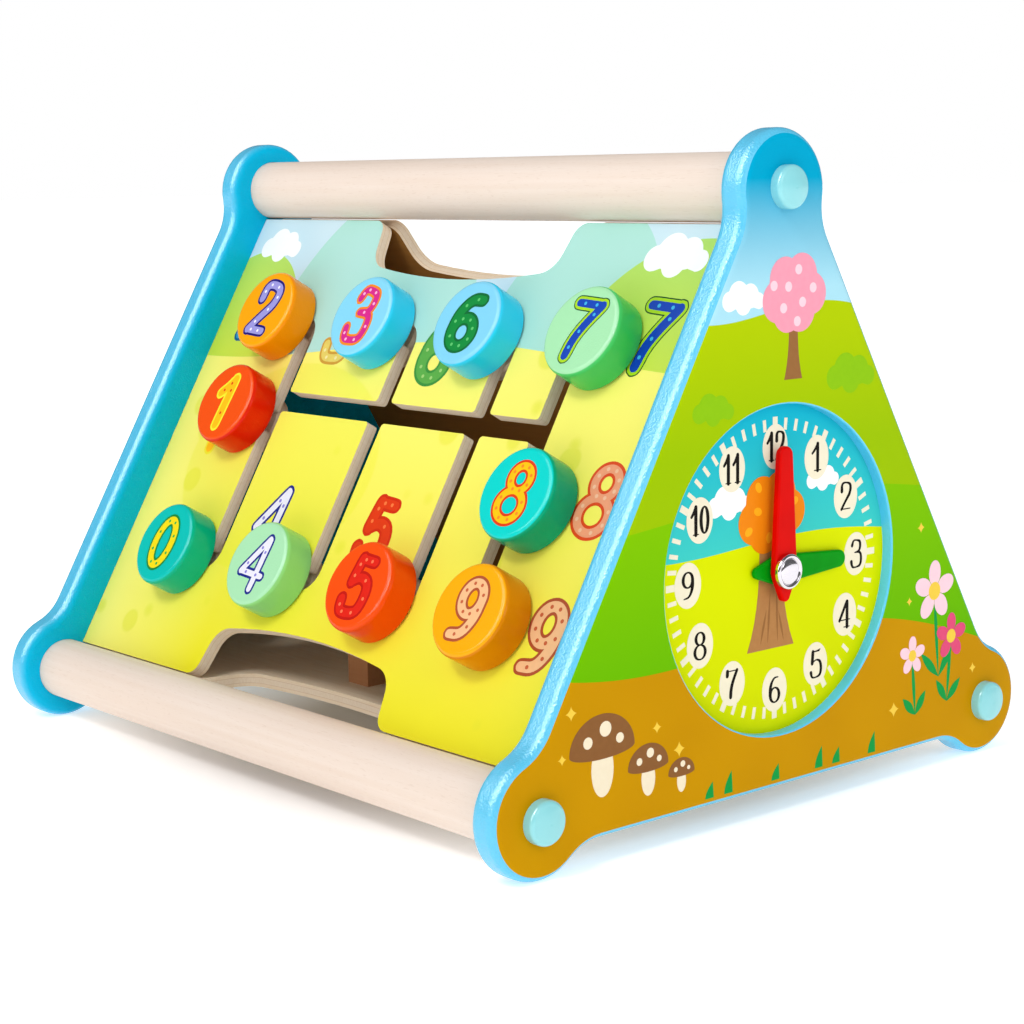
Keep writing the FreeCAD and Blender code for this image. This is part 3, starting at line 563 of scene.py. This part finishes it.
DIGIT_OVALS = {
    "0": [((0.3, 0.5), (0.24, 0.48))],
    "6": [((0.31, 0.29), (0.24, 0.28))],
    "8": [((0.3, 0.76), (0.21, 0.23)), ((0.3, 0.26), (0.27, 0.27))],
    "9": [((0.3, 0.7), (0.24, 0.28))],
}
# Thin feet and flags of the printed dial numerals
SERIFS = {
    "1": [[(0.18, 0.0), (0.36, 0.0), (0.54, 0.0)]],
    "4": [[(0.26, 0.0), (0.42, 0.0), (0.58, 0.0)]],
    "5": [[(0.16, 0.98), (0.4, 1.0), (0.56, 1.04)]],
    "7": [[(0.05, 0.98), (0.05, 0.9), (0.04, 0.82)]],
}
OVAL_POINTS = 8
# A smooth line runs inside the corners of its points, so the points of an oval stand further out
OVAL_SPREAD = 1 / 0.927


def full_turn(steps):
    """Angles at even steps once round."""
    return [2 * math.pi * k / steps for k in range(steps)]


def oval_points(centre, radii):
    """Points round an oval."""
    return [(centre[0] + radii[0] * OVAL_SPREAD * math.cos(a),
             centre[1] + radii[1] * OVAL_SPREAD * math.sin(a)) for a in full_turn(OVAL_POINTS)]


def pen_widths(points, heavy, light, closed):
    """Half width at each point: heavy where a line runs up or down, light where it runs across."""
    widths = []
    last = len(points) - 1
    for k in range(len(points)):
        before = points[k - 1] if closed or k else points[0]
        after = points[(k + 1) % len(points)] if closed or k < last else points[last]
        run = Vector(after) - Vector(before)
        widths.append(light + (heavy - light) * (run.y / max(run.length, 1e-6)) ** 2)
    return widths


# Width of a digit's cell and of the space at its left, as shares of its height
CELL_WIDTH = 0.66
CELL_MARGIN = 0.03


def write(text, centre, height, breadth, heavy, light, serifs=False):
    """Pen lines of a number, centred on a point: (points, half widths, closed)."""
    advance = CELL_WIDTH * height * breadth
    margin = CELL_MARGIN * height * breadth
    strokes = []
    for place, character in enumerate(text):
        left = centre[0] + (place - len(text) / 2) * advance + margin
        shapes = [(line, False) for line in DIGIT_LINES[character]]
        shapes += [(oval_points(*oval), True) for oval in DIGIT_OVALS.get(character, [])]
        shapes += [(line, False) for line in SERIFS.get(character, []) if serifs]
        for shape, closed in shapes:
            points = [(left + x * height * breadth, centre[1] + (y - 0.5) * height)
                      for x, y in shape]
            strokes.append((points, pen_widths(points, heavy, light, closed), closed))
    return strokes


def tilted(strokes, centre, angle):
    """Turns pen lines about a point."""
    turn = Matrix.Rotation(angle, 2)
    pivot = Vector(centre)
    return [([tuple(turn @ (Vector(p) - pivot) + pivot) for p in points], widths, closed)
            for points, widths, closed in strokes]


def made_mesh(curve, name):
    """Puts a curve into the scene and makes it a mesh."""
    bpy.ops.object.select_all(action="DESELECT")
    piece = bpy.data.objects.new(name, curve)
    bpy.context.scene.collection.objects.link(piece)
    piece.select_set(True)
    bpy.context.view_layer.objects.active = piece
    bpy.ops.object.convert(target="MESH")
    return piece


# A pen line is rounded off beyond its last point by these shares of its half width
END_STEPS = ((0.55, 0.84), (0.88, 0.5), (1.0, 0.05))


def rounded(points, widths):
    """Carries an open pen line on past both its ends in a narrowing round tip."""
    points, widths = list(points), list(widths)
    for last, neighbour in ((0, 1), (-1, -2)):
        end = Vector(points[last])
        away = (end - Vector(points[neighbour])).normalized()
        width = widths[last]
        tip = [(tuple(end + away * width * reach), width * share) for reach, share in END_STEPS]
        if last == 0:
            points = [point for point, w in reversed(tip)] + points
            widths = [w for point, w in reversed(tip)] + widths
        else:
            points += [point for point, w in tip]
            widths += [w for point, w in tip]
    return points, widths


def pen_lines(name, strokes, thickness):
    """Rounded lines of ink, as thick as given at their widest."""
    curve = bpy.data.curves.new(name, "CURVE")
    curve.dimensions = "3D"
    curve.resolution_u = 5
    curve.bevel_depth = 1.0
    curve.bevel_resolution = 1
    curve.use_fill_caps = True
    for points, widths, closed in strokes:
        if not closed:
            points, widths = rounded(points, widths)
        spline = curve.splines.new("NURBS")
        spline.points.add(len(points) - 1)
        for point, (x, y), width in zip(spline.points, points, widths):
            point.co = (x, y, 0, 1)
            point.radius = width
        spline.order_u = 3
        spline.use_endpoint_u = not closed
        spline.use_cyclic_u = closed
    piece = made_mesh(curve, name)
    widest = max(max(widths) for points, widths, closed in strokes)
    piece.data.transform(Matrix.Diagonal((1, 1, thickness / widest, 1)))
    return piece


def patches(name, outlines, thickness):
    """Flat closed patches of ink."""
    curve = bpy.data.curves.new(name, "CURVE")
    curve.dimensions = "2D"
    curve.fill_mode = "BOTH"
    curve.extrude = thickness / 2
    for outline in outlines:
        spline = curve.splines.new("POLY")
        spline.points.add(len(outline) - 1)
        for point, (x, y) in zip(spline.points, outline):
            point.co = (x, y, 0, 1)
        spline.use_cyclic_u = True
    return made_mesh(curve, name)


# Faces that meet at less than this angle are shaded as one smooth surface
SMOOTH_ANGLE = math.radians(35)


def lay(piece, where, lift, material, body):
    """Lays a piece on its surface, lifted off it in millimetres, and fixes it to a body."""
    piece.data.transform(where @ Matrix.Translation((0, 0, lift)))
    piece.data.materials.clear()
    piece.data.materials.append(material)
    bpy.ops.object.select_all(action="DESELECT")
    piece.select_set(True)
    bpy.context.view_layer.objects.active = piece
    bpy.ops.object.shade_smooth_by_angle(angle=SMOOTH_ANGLE)
    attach(piece, body)
    return piece


# Least distance between the dots of a digit, in radii of a dot
DOT_SPACING = 4


def beads(strokes, radius):
    """Dots along pen lines, none too near another. A smooth line passes midway between points."""
    spots = []
    for points, widths, closed in strokes:
        pairs = list(zip(points, points[1:])) + ([(points[-1], points[0])] if closed else [])
        for a, b in pairs:
            spot = (Vector(a) + Vector(b)) / 2
            if all((spot - other).length > DOT_SPACING * radius for other in spots):
                spots.append(spot)
    return [puff(spot, (radius, radius), 12) for spot in spots]


def puff(centre, radii, points=32, turn=0.0):
    """Outline of an oval."""
    turned = Matrix.Rotation(turn, 2)
    rim = [Vector((radii[0] * math.cos(a), radii[1] * math.sin(a))) for a in full_turn(points)]
    return [tuple(turned @ p + Vector(centre)) for p in rim]


BILLOW_POINTS = 96


def billow(centre, balls, size=1.0):
    """Outline of a cloud, a bush or a tree crown: balls (x, y, radius) that overlap its centre."""
    outline = []
    for a in full_turn(BILLOW_POINTS):
        way = Vector((math.cos(a), math.sin(a)))
        reach = 0.0
        for x, y, radius in balls:
            ahead = Vector((x, y)).dot(way)
            aside = x * x + y * y - ahead * ahead
            if aside <= radius * radius:
                reach = max(reach, ahead + math.sqrt(radius * radius - aside))
        outline.append(tuple(Vector(centre) + way * reach * size))
    return outline


SPARK_POINTS = 32


def spark(centre, radius):
    """Outline of a four-pointed star."""
    return [(centre[0] + radius * math.cos(a) ** 3, centre[1] + radius * math.sin(a) ** 3)
            for a in full_turn(SPARK_POINTS)]


LEAF_STEPS = 8


def leaf(root, length, width, angle):
    """Outline of a pointed leaf, a stem or a furrow."""
    rim = [(length * t / LEAF_STEPS, width / 2 * math.sin(math.pi * t / LEAF_STEPS))
           for t in range(LEAF_STEPS + 1)]
    rim += [(x, -y) for x, y in reversed(rim[1:-1])]
    turn = Matrix.Rotation(angle, 2)
    return [tuple(turn @ Vector(p) + Vector(root)) for p in rim]


def bar(centre, width, height, angle):
    """Outline of a bar."""
    turn = Matrix.Rotation(angle, 2)
    x, y = width / 2, height / 2
    return [tuple(turn @ Vector(p) + Vector(centre)) for p in ((-x, -y), (x, -y), (x, y), (-x, y))]


# In millimetres, as are all sizes on a print
INK_THICKNESS = 0.04
DISC_DIGIT_HEIGHT = 19.8
PANEL_DIGIT_HEIGHT = 23.2
DIGIT_TILT = math.radians(-4)
# Half widths of a digit's lines, its outline, its edge and its dots, as shares of its height
PEN_HEAVY = 0.1
PEN_LIGHT = 0.08
OUTLINE_SHARE = 0.05
EDGE_SHARE = 0.022
DOT_SHARE = 0.033
# Heights over the surface, in thicknesses of ink: the layers of a flat motif from the lowest up,
# the parts of a digit and the dial's numerals
LOWEST_LAYER = 0.5
LAYER_RISE = 0.8
EDGE_LEVEL = 0.0
OUTLINE_LEVEL = 0.6
FILL_LEVEL = 1.6
DOT_LEVEL = 2.4
NUMERAL_LEVEL = 2.2


def print_on(name, layers, where, body):
    """Prints flat motifs, layer over layer: (ink, outlines) from the lowest up."""
    for level, (material, outlines) in enumerate(layers):
        lift = INK_THICKNESS * (LOWEST_LAYER + LAYER_RISE * level)
        lay(patches(f"{name}_{level}", outlines, INK_THICKNESS), where, lift, material, body)


def printed_digit(name, number, centre, height, where, inks, body):
    """A fat digit with an outline and a row of dots along its lines."""
    fill, outline, dot = inks
    breadth, boldness = DIGIT_BUILDS.get(number, (1.0, 1.0))
    heavy, light = PEN_HEAVY * height * boldness, PEN_LIGHT * height * boldness
    strokes = tilted(write(str(number), centre, height, breadth, heavy, light), centre, DIGIT_TILT)
    rings = [("outline", OUTLINE_SHARE, OUTLINE_LEVEL, outline), ("fill", 0.0, FILL_LEVEL, fill)]
    if number in DIGIT_EDGE_INKS:
        rings.insert(0, ("edge", OUTLINE_SHARE + EDGE_SHARE, EDGE_LEVEL, DIGIT_EDGE_INKS[number]))
    for part, share, level, colour in rings:
        lines = [(points, [w + share * height for w in widths], closed)
                 for points, widths, closed in strokes]
        piece = pen_lines(f"{name}_{part}", lines, INK_THICKNESS)
        lay(piece, where, INK_THICKNESS * level, colour, body)
    dots = patches(name + "_dots", beads(strokes, DOT_SHARE * height), INK_THICKNESS)
    lay(dots, where, INK_THICKNESS * DOT_LEVEL, dot, body)


def digit_inks(colours, kind):
    """The three inks of each digit."""
    return {n: [ink(f"{kind}_{part}_{n}", c) for part, c in zip(("fill", "outline", "dot"), three)]
            for n, three in colours.items()}


DIGIT_INKS = digit_inks(DIGIT_COLOURS, "ink")
PALE_DIGIT_INKS = digit_inks(PALE_DIGIT_COLOURS, "pale_ink")
DIGIT_EDGE_INKS = {n: ink(f"ink_edge_{n}", c) for n, c in DIGIT_EDGES.items()}
for number in DISC_NUMBERS:
    printed_digit(f"disc_digit_{number}", number, (0, 0), DISC_DIGIT_HEIGHT, disc_plane(number),
                  DIGIT_INKS[number], f"slider_{number}")

# The same numbers beside the discs, and clouds over the hills
PANEL_DIGITS = {
    1: (-110.5, 5.0), 2: (-117.0, 54.5), 3: (-54.5, 49.0), 4: (-49.0, -31.0), 5: (14.5, -29.0),
    6: (8.5, 43.5), 7: (115.5, 55.0), 8: (120.5, -4.5), 9: (119.5, -53.5),
}
for number, place in PANEL_DIGITS.items():
    printed_digit(f"panel_digit_{number}", number, place, PANEL_DIGIT_HEIGHT, PANEL_PLANE,
                  PALE_DIGIT_INKS.get(number, DIGIT_INKS[number]), "frame")

WHITE = ink("ink_white", "#FAFCFC", "#EEF4F8")
# The balls of a cloud
CLOUD = ((-9, 0, 4.6), (-3, 2.6, 6.4), (4.5, 2.0, 5.6), (10, -0.4, 3.8), (0, -1.5, 5))
for side, place, size in (("left", (-120, 84), 1.0), ("right", (112, 84), 1.1)):
    print_on(f"panel_cloud_{side}", [(WHITE, [billow(place, CLOUD, size)])],
             PANEL_PLANE, "frame")

# End board: a blossom tree, mushrooms, flowers, stars and tufts of grass
PINK = ink("ink_pink", "#F2A0B4", "#E88CA4")
PALE_PINK = ink("ink_pale_pink", "#FBD3DE", "#F6C2D0")
BARK = ink("ink_bark", "#9A6A3C", "#855A30")
GRASS = ink("ink_grass", "#0E9E46", "#0A8A3C")
BUSH = ink("ink_bush", "#86BE0A", "#94C80E")
STAR = ink("ink_star", "#F2CE4A", "#E8C040")
CAP_BROWN = ink("ink_cap_brown", "#8C5E34", "#7A4E28")
STEM_CREAM = ink("ink_stem_cream", "#F2E6CC", "#E6D6B4")
ROSE = ink("ink_rose", "#E0507C", "#D44470")
# The balls of a tree's crown, and the middle of the blossom tree's
CROWN = ((-8, -2, 7), (-4, 5, 7.5), (4, 6, 7.5), (9, 0, 7), (3, -5, 7.5), (-3, -5.5, 7))
TREE_TOP = (4, 92)


TRUNK_STEPS = 8


def trunk(foot, width, height):
    """Outline of a trunk that spreads at its foot."""
    x, y = foot
    rise = [k / TRUNK_STEPS for k in range(TRUNK_STEPS + 1)]
    rim = [(x + side * width * (0.5 + 0.55 * (1 - t) ** 3), y + height * t)
           for side, shares in ((-1, rise), (1, rise[::-1])) for t in shares]
    return rim[::-1]


CAP_STEPS = 24


def mushroom(foot, size):
    """Layers of a mushroom: stem, cap and spots."""
    x, y = foot
    stem = [puff((x, y + 0.28 * size), (0.17 * size, 0.32 * size))]
    arch = [(x + 0.5 * size * math.cos(a), y + size * (0.5 + 0.42 * math.sin(a)))
            for a in (math.pi * k / CAP_STEPS for k in range(CAP_STEPS + 1))]
    under = [(x + 0.5 * size * math.cos(a), y + size * (0.5 + 0.1 * math.sin(a)))
             for a in (math.pi + math.pi * k / CAP_STEPS for k in range(1, CAP_STEPS))]
    dots = [puff((x + dx * size, y + dy * size), (r * size, r * size), 16)
            for dx, dy, r in ((-0.22, 0.62, 0.07), (0.05, 0.74, 0.09), (0.27, 0.6, 0.06))]
    return stem, [arch + under], dots


PETAL_COUNT = 5
FIRST_PETAL = 0.3


def petals(centre, size):
    """Petals round the centre of a flower."""
    return [puff((centre[0] + 0.6 * size * math.cos(a), centre[1] + 0.6 * size * math.sin(a)),
                 (0.42 * size, 0.3 * size), 20, a)
            for a in (turn + FIRST_PETAL for turn in full_turn(PETAL_COUNT))]


def print_on_board(name, layers, where=BOARD_PLANE):
    """Prints on the end board with the clock."""
    print_on(name, layers, where, "frame")


print_on_board("board_bushes", [
    (BUSH, [billow((33, 63), CLOUD, 0.9), billow((-34, 56), CLOUD, 0.7)])])
print_on_board("board_cloud", [(WHITE, [billow((-20, 91), CLOUD, 0.72)])])
# Angle of each blossom round the crown's middle, and how far out it is
BLOSSOMS = ((0.2, 1.3), (1.3, 1.2), (2.3, 0.5), (2.8, 1.35), (3.9, 0.9), (4.9, 1.3), (5.7, 0.7))
blossoms = [puff((TREE_TOP[0] + 7.5 * math.cos(a) * r, TREE_TOP[1] + 7 * math.sin(a) * r),
                 (1.7, 1.7), 16) for a, r in BLOSSOMS]
print_on_board("blossom_tree", [
    (BARK, [trunk((4, 64), 4.2, 22)]), (PINK, [billow(TREE_TOP, CROWN)]), (PALE_PINK, blossoms)])
# Foot and size of each mushroom
MUSHROOMS = (((-84, -60), 28), ((-64, -64), 18), ((-49, -66), 12))
for index, (foot, size) in enumerate(MUSHROOMS):
    stem, cap, dots = mushroom(foot, size)
    print_on_board(f"mushroom_{index}", [(STEM_CREAM, stem), (CAP_BROWN, cap), (STEM_CREAM, dots)])
# Head, foot, size and ink of each flower
FLOWERS = (
    ((80, -18), (83, -50), 11, PALE_PINK),
    ((90, -36), (88, -60), 8.5, ROSE),
    ((68, -40), (70, -62), 7, PALE_PINK),
)
for index, (head, foot, size, petal_ink) in enumerate(FLOWERS):
    reach = (Vector(head) - Vector(foot)).length
    lean = math.atan2(head[1] - foot[1], head[0] - foot[0])
    stems = [leaf(foot, reach, 1.8, lean)]
    leaves = [leaf(foot, 0.45 * reach, 3.4, lean + side * 0.7) for side in (-1, 1)]
    eye = [puff(head, (0.3 * size, 0.3 * size), 20)]
    print_on_board(f"flower_{index}", [
        (GRASS, stems), (GRASS, leaves), (petal_ink, petals(head, size)), (STAR, eye)])
# Place and radius of each star
STARS = (
    (-97, -32, 2.4), (-60, -43, 2.0), (-50, -52, 2.6), (-101, -46, 1.8),
    (58, -58, 2.8), (72, 6, 2.0), (66, -20, 1.6), (103, -50, 2.0),
)
print_on_board("board_stars", [(STAR, [spark((x, y), r) for x, y, r in STARS])])
# Places of the tufts along the print's lower edge, their heights by turns and how far they lean,
# and the height of that edge
TUFTS = (-36, -27, -4, 18, 27, 46)
TUFT_HEIGHTS = (5.5, 7.5)
TUFT_LEAN = 1.6
BOARD_FOOT = -71.4
BLADE_STEPS = 6
BLADE_HALF_WIDTH = 2


def blade(foot, height, lean):
    """Outline of a blade of grass that stands on an edge."""
    x, y = foot
    left, right = [[(x + half * math.cos(t * math.pi / 2) + lean * t * t, y + height * t)
                    for t in (k / BLADE_STEPS for k in range(BLADE_STEPS + 1))]
                   for half in (-BLADE_HALF_WIDTH, BLADE_HALF_WIDTH)]
    return right[:-1] + left[::-1]


grass = [blade((x, BOARD_FOOT), TUFT_HEIGHTS[k % 2], TUFT_LEAN) for k, x in enumerate(TUFTS)]
print_on_board("board_grass", [(GRASS, grass)])

# Dial: an autumn tree and clouds, ticks, ovals and numerals
CREAM = ink("ink_cream", "#F3EBD2", "#EADFC2")
BLACK = ink("ink_black", "#15110C", "#1E1812")
ORANGE = ink("ink_orange", "#F08C10", "#E87A0C")
AMBER = ink("ink_amber", "#FFB21E", "#F9A616")
TRUNK_BROWN = ink("ink_trunk_brown", "#B5814C", "#A06C3C")
TICK_RADIUS = 49.0
MINUTE_TICK = (1.5, 4.0)
HOUR_TICK = (2.3, 5.0)
NUMERAL_RADIUS = 41.5
OVAL_RADII = (6.1, 7.6)
NUMERAL_HEIGHT = 9.0
# Half widths of a numeral's upright and level lines, and the breadth of the digits of 10, 11 and 12
NUMERAL_PEN = (0.76, 0.2)
NUMERAL_THICKNESS = 0.03
PAIR_BREADTH = 0.74

ticks = []
for minute in range(60):
    angle = math.radians(6 * minute)
    size = MINUTE_TICK if minute % 5 else HOUR_TICK
    spot = (TICK_RADIUS * math.sin(angle), TICK_RADIUS * math.cos(angle))
    ticks.append(bar(spot, *size, -angle))
ovals = []
numerals = []
for hour in range(1, 13):
    angle = math.radians(30 * hour)
    spot = (NUMERAL_RADIUS * math.sin(angle), NUMERAL_RADIUS * math.cos(angle))
    ovals.append(puff(spot, OVAL_RADII, 40))
    breadth = 1.0 if hour < 10 else PAIR_BREADTH
    numerals += write(str(hour), spot, NUMERAL_HEIGHT, breadth, *NUMERAL_PEN, serifs=True)
# Angle of each leaf round the crown's middle, and how far out it is
LEAVES = ((0.3, 1.1), (1.2, 0.9), (2.1, 1.1), (2.9, 0.6), (3.6, 1.1), (4.6, 0.8), (5.5, 1.0))
leaves = [puff((11 * math.cos(a) * r - 2, 19 + 10 * math.sin(a) * r), (1.9, 1.4), 16, a)
          for a, r in LEAVES]
# Place, length and tilt of each line in the trunk's bark
FURROWS = ((-7, 12, -14), (-3.5, 17, -4), (1.5, 20, 2), (4.5, 11, 14))
furrows = [leaf((x, -25), length, 0.9, math.radians(90 + tilt)) for x, length, tilt in FURROWS]
print_on_board("dial_scene", [
    (WHITE, [billow((-22, 24), CLOUD, 0.75), billow((24, 28), CLOUD, 0.6)]),
    (TRUNK_BROWN, [trunk((-2, -27), 11, 39)]),
    (BARK, furrows),
    (ORANGE, [billow((-2, 19), CROWN, 1.05)]),
    (AMBER, leaves)], DIAL_PLANE)
print_on_board("dial_scale", [(CREAM, ticks), (CREAM, ovals)], DIAL_PLANE)
numeral_lines = pen_lines("dial_numerals", numerals, NUMERAL_THICKNESS)
lay(numeral_lines, DIAL_PLANE, INK_THICKNESS * NUMERAL_LEVEL, BLACK, "frame")

# The pin's head: a rolled rim, a groove and a polished dome that mirrors the studio
HEAD_HEIGHT = 1.9
HEAD_RADIUS = 6.0
PIN_RADIUS = 2.0
ROLL = 0.75
ROLL_DROP = 0.25
DOME_RADIUS = 4.4
DOME_HEIGHT = 0.85
PIN_STEPS = 96


def spun(name, profile):
    """Turns a profile of (radius, height) points round the upright axis of its plane."""
    curve = bpy.data.curves.new(name, "CURVE")
    curve.dimensions = "3D"
    spline = curve.splines.new("POLY")
    spline.points.add(len(profile) - 1)
    for point, (radius, height) in zip(spline.points, profile):
        point.co = (radius, 0, height, 1)
    piece = made_mesh(curve, name)
    bpy.ops.object.mode_set(mode="EDIT")
    bpy.ops.mesh.select_all(action="SELECT")
    bpy.ops.mesh.spin(steps=PIN_STEPS, angle=2 * math.pi, center=(0, 0, 0), axis=(0, 0, 1))
    bpy.ops.mesh.select_all(action="SELECT")
    bpy.ops.mesh.remove_doubles(threshold=0.001)
    bpy.ops.mesh.normals_make_consistent(inside=False)
    bpy.ops.object.mode_set(mode="OBJECT")
    return piece


head_top = (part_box("clock_pivot")[1].x - DIAL_FACE) / MM
pin_foot = (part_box("clock_pivot")[0].x - DIAL_FACE) / MM
head_base = head_top - HEAD_HEIGHT
roll_middle = head_top - ROLL_DROP - ROLL
dome_base = head_top - DOME_HEIGHT
profile = [(0, pin_foot), (PIN_RADIUS, pin_foot), (PIN_RADIUS, head_base), (HEAD_RADIUS, head_base)]
profile += [(HEAD_RADIUS - ROLL + ROLL * math.cos(a), roll_middle + ROLL * math.sin(a))
            for a in (math.radians(12 * k) for k in range(13))]
profile += [(DOME_RADIUS * math.cos(a), dome_base + DOME_HEIGHT * math.sin(a))
            for a in (math.radians(7.5 * k) for k in range(12))]
profile.append((0, head_top))
pin = lay(spun("clock_pin", profile), DIAL_PLANE, 0.0, CHROME, "frame")
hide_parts("clock_pivot")

# Studio
FLOOR_SIZE = 40.0
# The floor glows faintly under the toy and more further out, so that the shade by the toy is soft
# and the far floor is as white as the room: distance, width of the change and added glow
GLOW_UNDER = 0.03
GLOW_STEPS = ((0.13, 0.1, 0.44), (0.6, 0.9, 0.2))
bpy.ops.object.select_all(action="DESELECT")
bpy.ops.mesh.primitive_plane_add(size=FLOOR_SIZE, location=(0, 0, 0))
floor = bpy.context.active_object
floor.name = "floor"
floor_material, tree, shader, place = new_material(
    "pale_floor", Roughness=0.7, Specular_IOR_Level=0.1)
shader.inputs["Emission Color"].default_value = linear("#FFFFFF")
away = add_node(tree, "ShaderNodeVectorMath", {0: place}, operation="LENGTH").outputs["Value"]
glow = GLOW_UNDER
for distance, width, more in GLOW_STEPS:
    glow = calculate(tree, "MULTIPLY_ADD", step(tree, away, distance, width), more, glow)
tree.links.new(glow, shader.inputs["Emission Strength"])
finish_material(tree, shader, mix(tree, cloudy(tree, place, 0.2, 1.0), "#F4F4F4", "#F1F1F1"))
floor.data.materials.append(floor_material)

# The white room lights the toy evenly, and is dimmer in its reflections
ROOM_LIGHT = 0.64
ROOM_REFLECTION = 0.14
world = bpy.data.worlds.new("studio")
bpy.context.scene.world = world
world.use_nodes = True
room = world.node_tree
rays = add_node(room, "ShaderNodeLightPath").outputs
seen = calculate(room, "MULTIPLY_ADD", rays["Is Camera Ray"], 1.0 - ROOM_LIGHT, ROOM_LIGHT)
dimming = ROOM_REFLECTION - ROOM_LIGHT
strength = calculate(room, "MULTIPLY_ADD", rays["Is Glossy Ray"], dimming, seen)
room.nodes["Background"].inputs["Color"].default_value = linear("#FFFFFF")
room.links.new(strength, room.nodes["Background"].inputs["Strength"])

TOY_MIDDLE = Vector((0, 0, 0.1))


def softbox(name, spot, size, power):
    """A square soft light aimed at the toy. Returns the lamp."""
    light = bpy.data.lights.new(name, "AREA")
    light.shape = "SQUARE"
    light.size = size
    light.energy = power
    lamp = bpy.data.objects.new(name, light)
    bpy.context.scene.collection.objects.link(lamp)
    lamp.location = spot
    lamp.rotation_euler = (TOY_MIDDLE - Vector(spot)).to_track_quat("-Z", "Y").to_euler()
    return lamp


softbox("key_light", spot=(0.35, -1.25, 1.35), size=0.36, power=9.6)
# A large white screen in front shows only as the broad highlight on the lacquer
screen = softbox("screen", spot=(-0.3, -1.3, 1.3), size=1.8, power=74)
screen.visible_diffuse = False
softbox("side_light", spot=(1.5, -0.3, 0.9), size=0.8, power=4.4)

bpy.context.scene.view_settings.view_transform = "Standard"
camera_data = bpy.data.cameras.new("camera")
camera_data.sensor_width = SENSOR
camera_data.lens = CAMERA_LENS
camera = bpy.data.objects.new("camera", camera_data)
bpy.context.scene.collection.objects.link(camera)
camera_up = CAMERA_RIGHT.cross(CAMERA_LOOK)
turned = Matrix((CAMERA_RIGHT, camera_up, -CAMERA_LOOK)).transposed().to_4x4()
camera.matrix_world = Matrix.Translation(CAMERA_AT) @ turned
bpy.context.scene.camera = camera

bpy.context.view_layer.update()
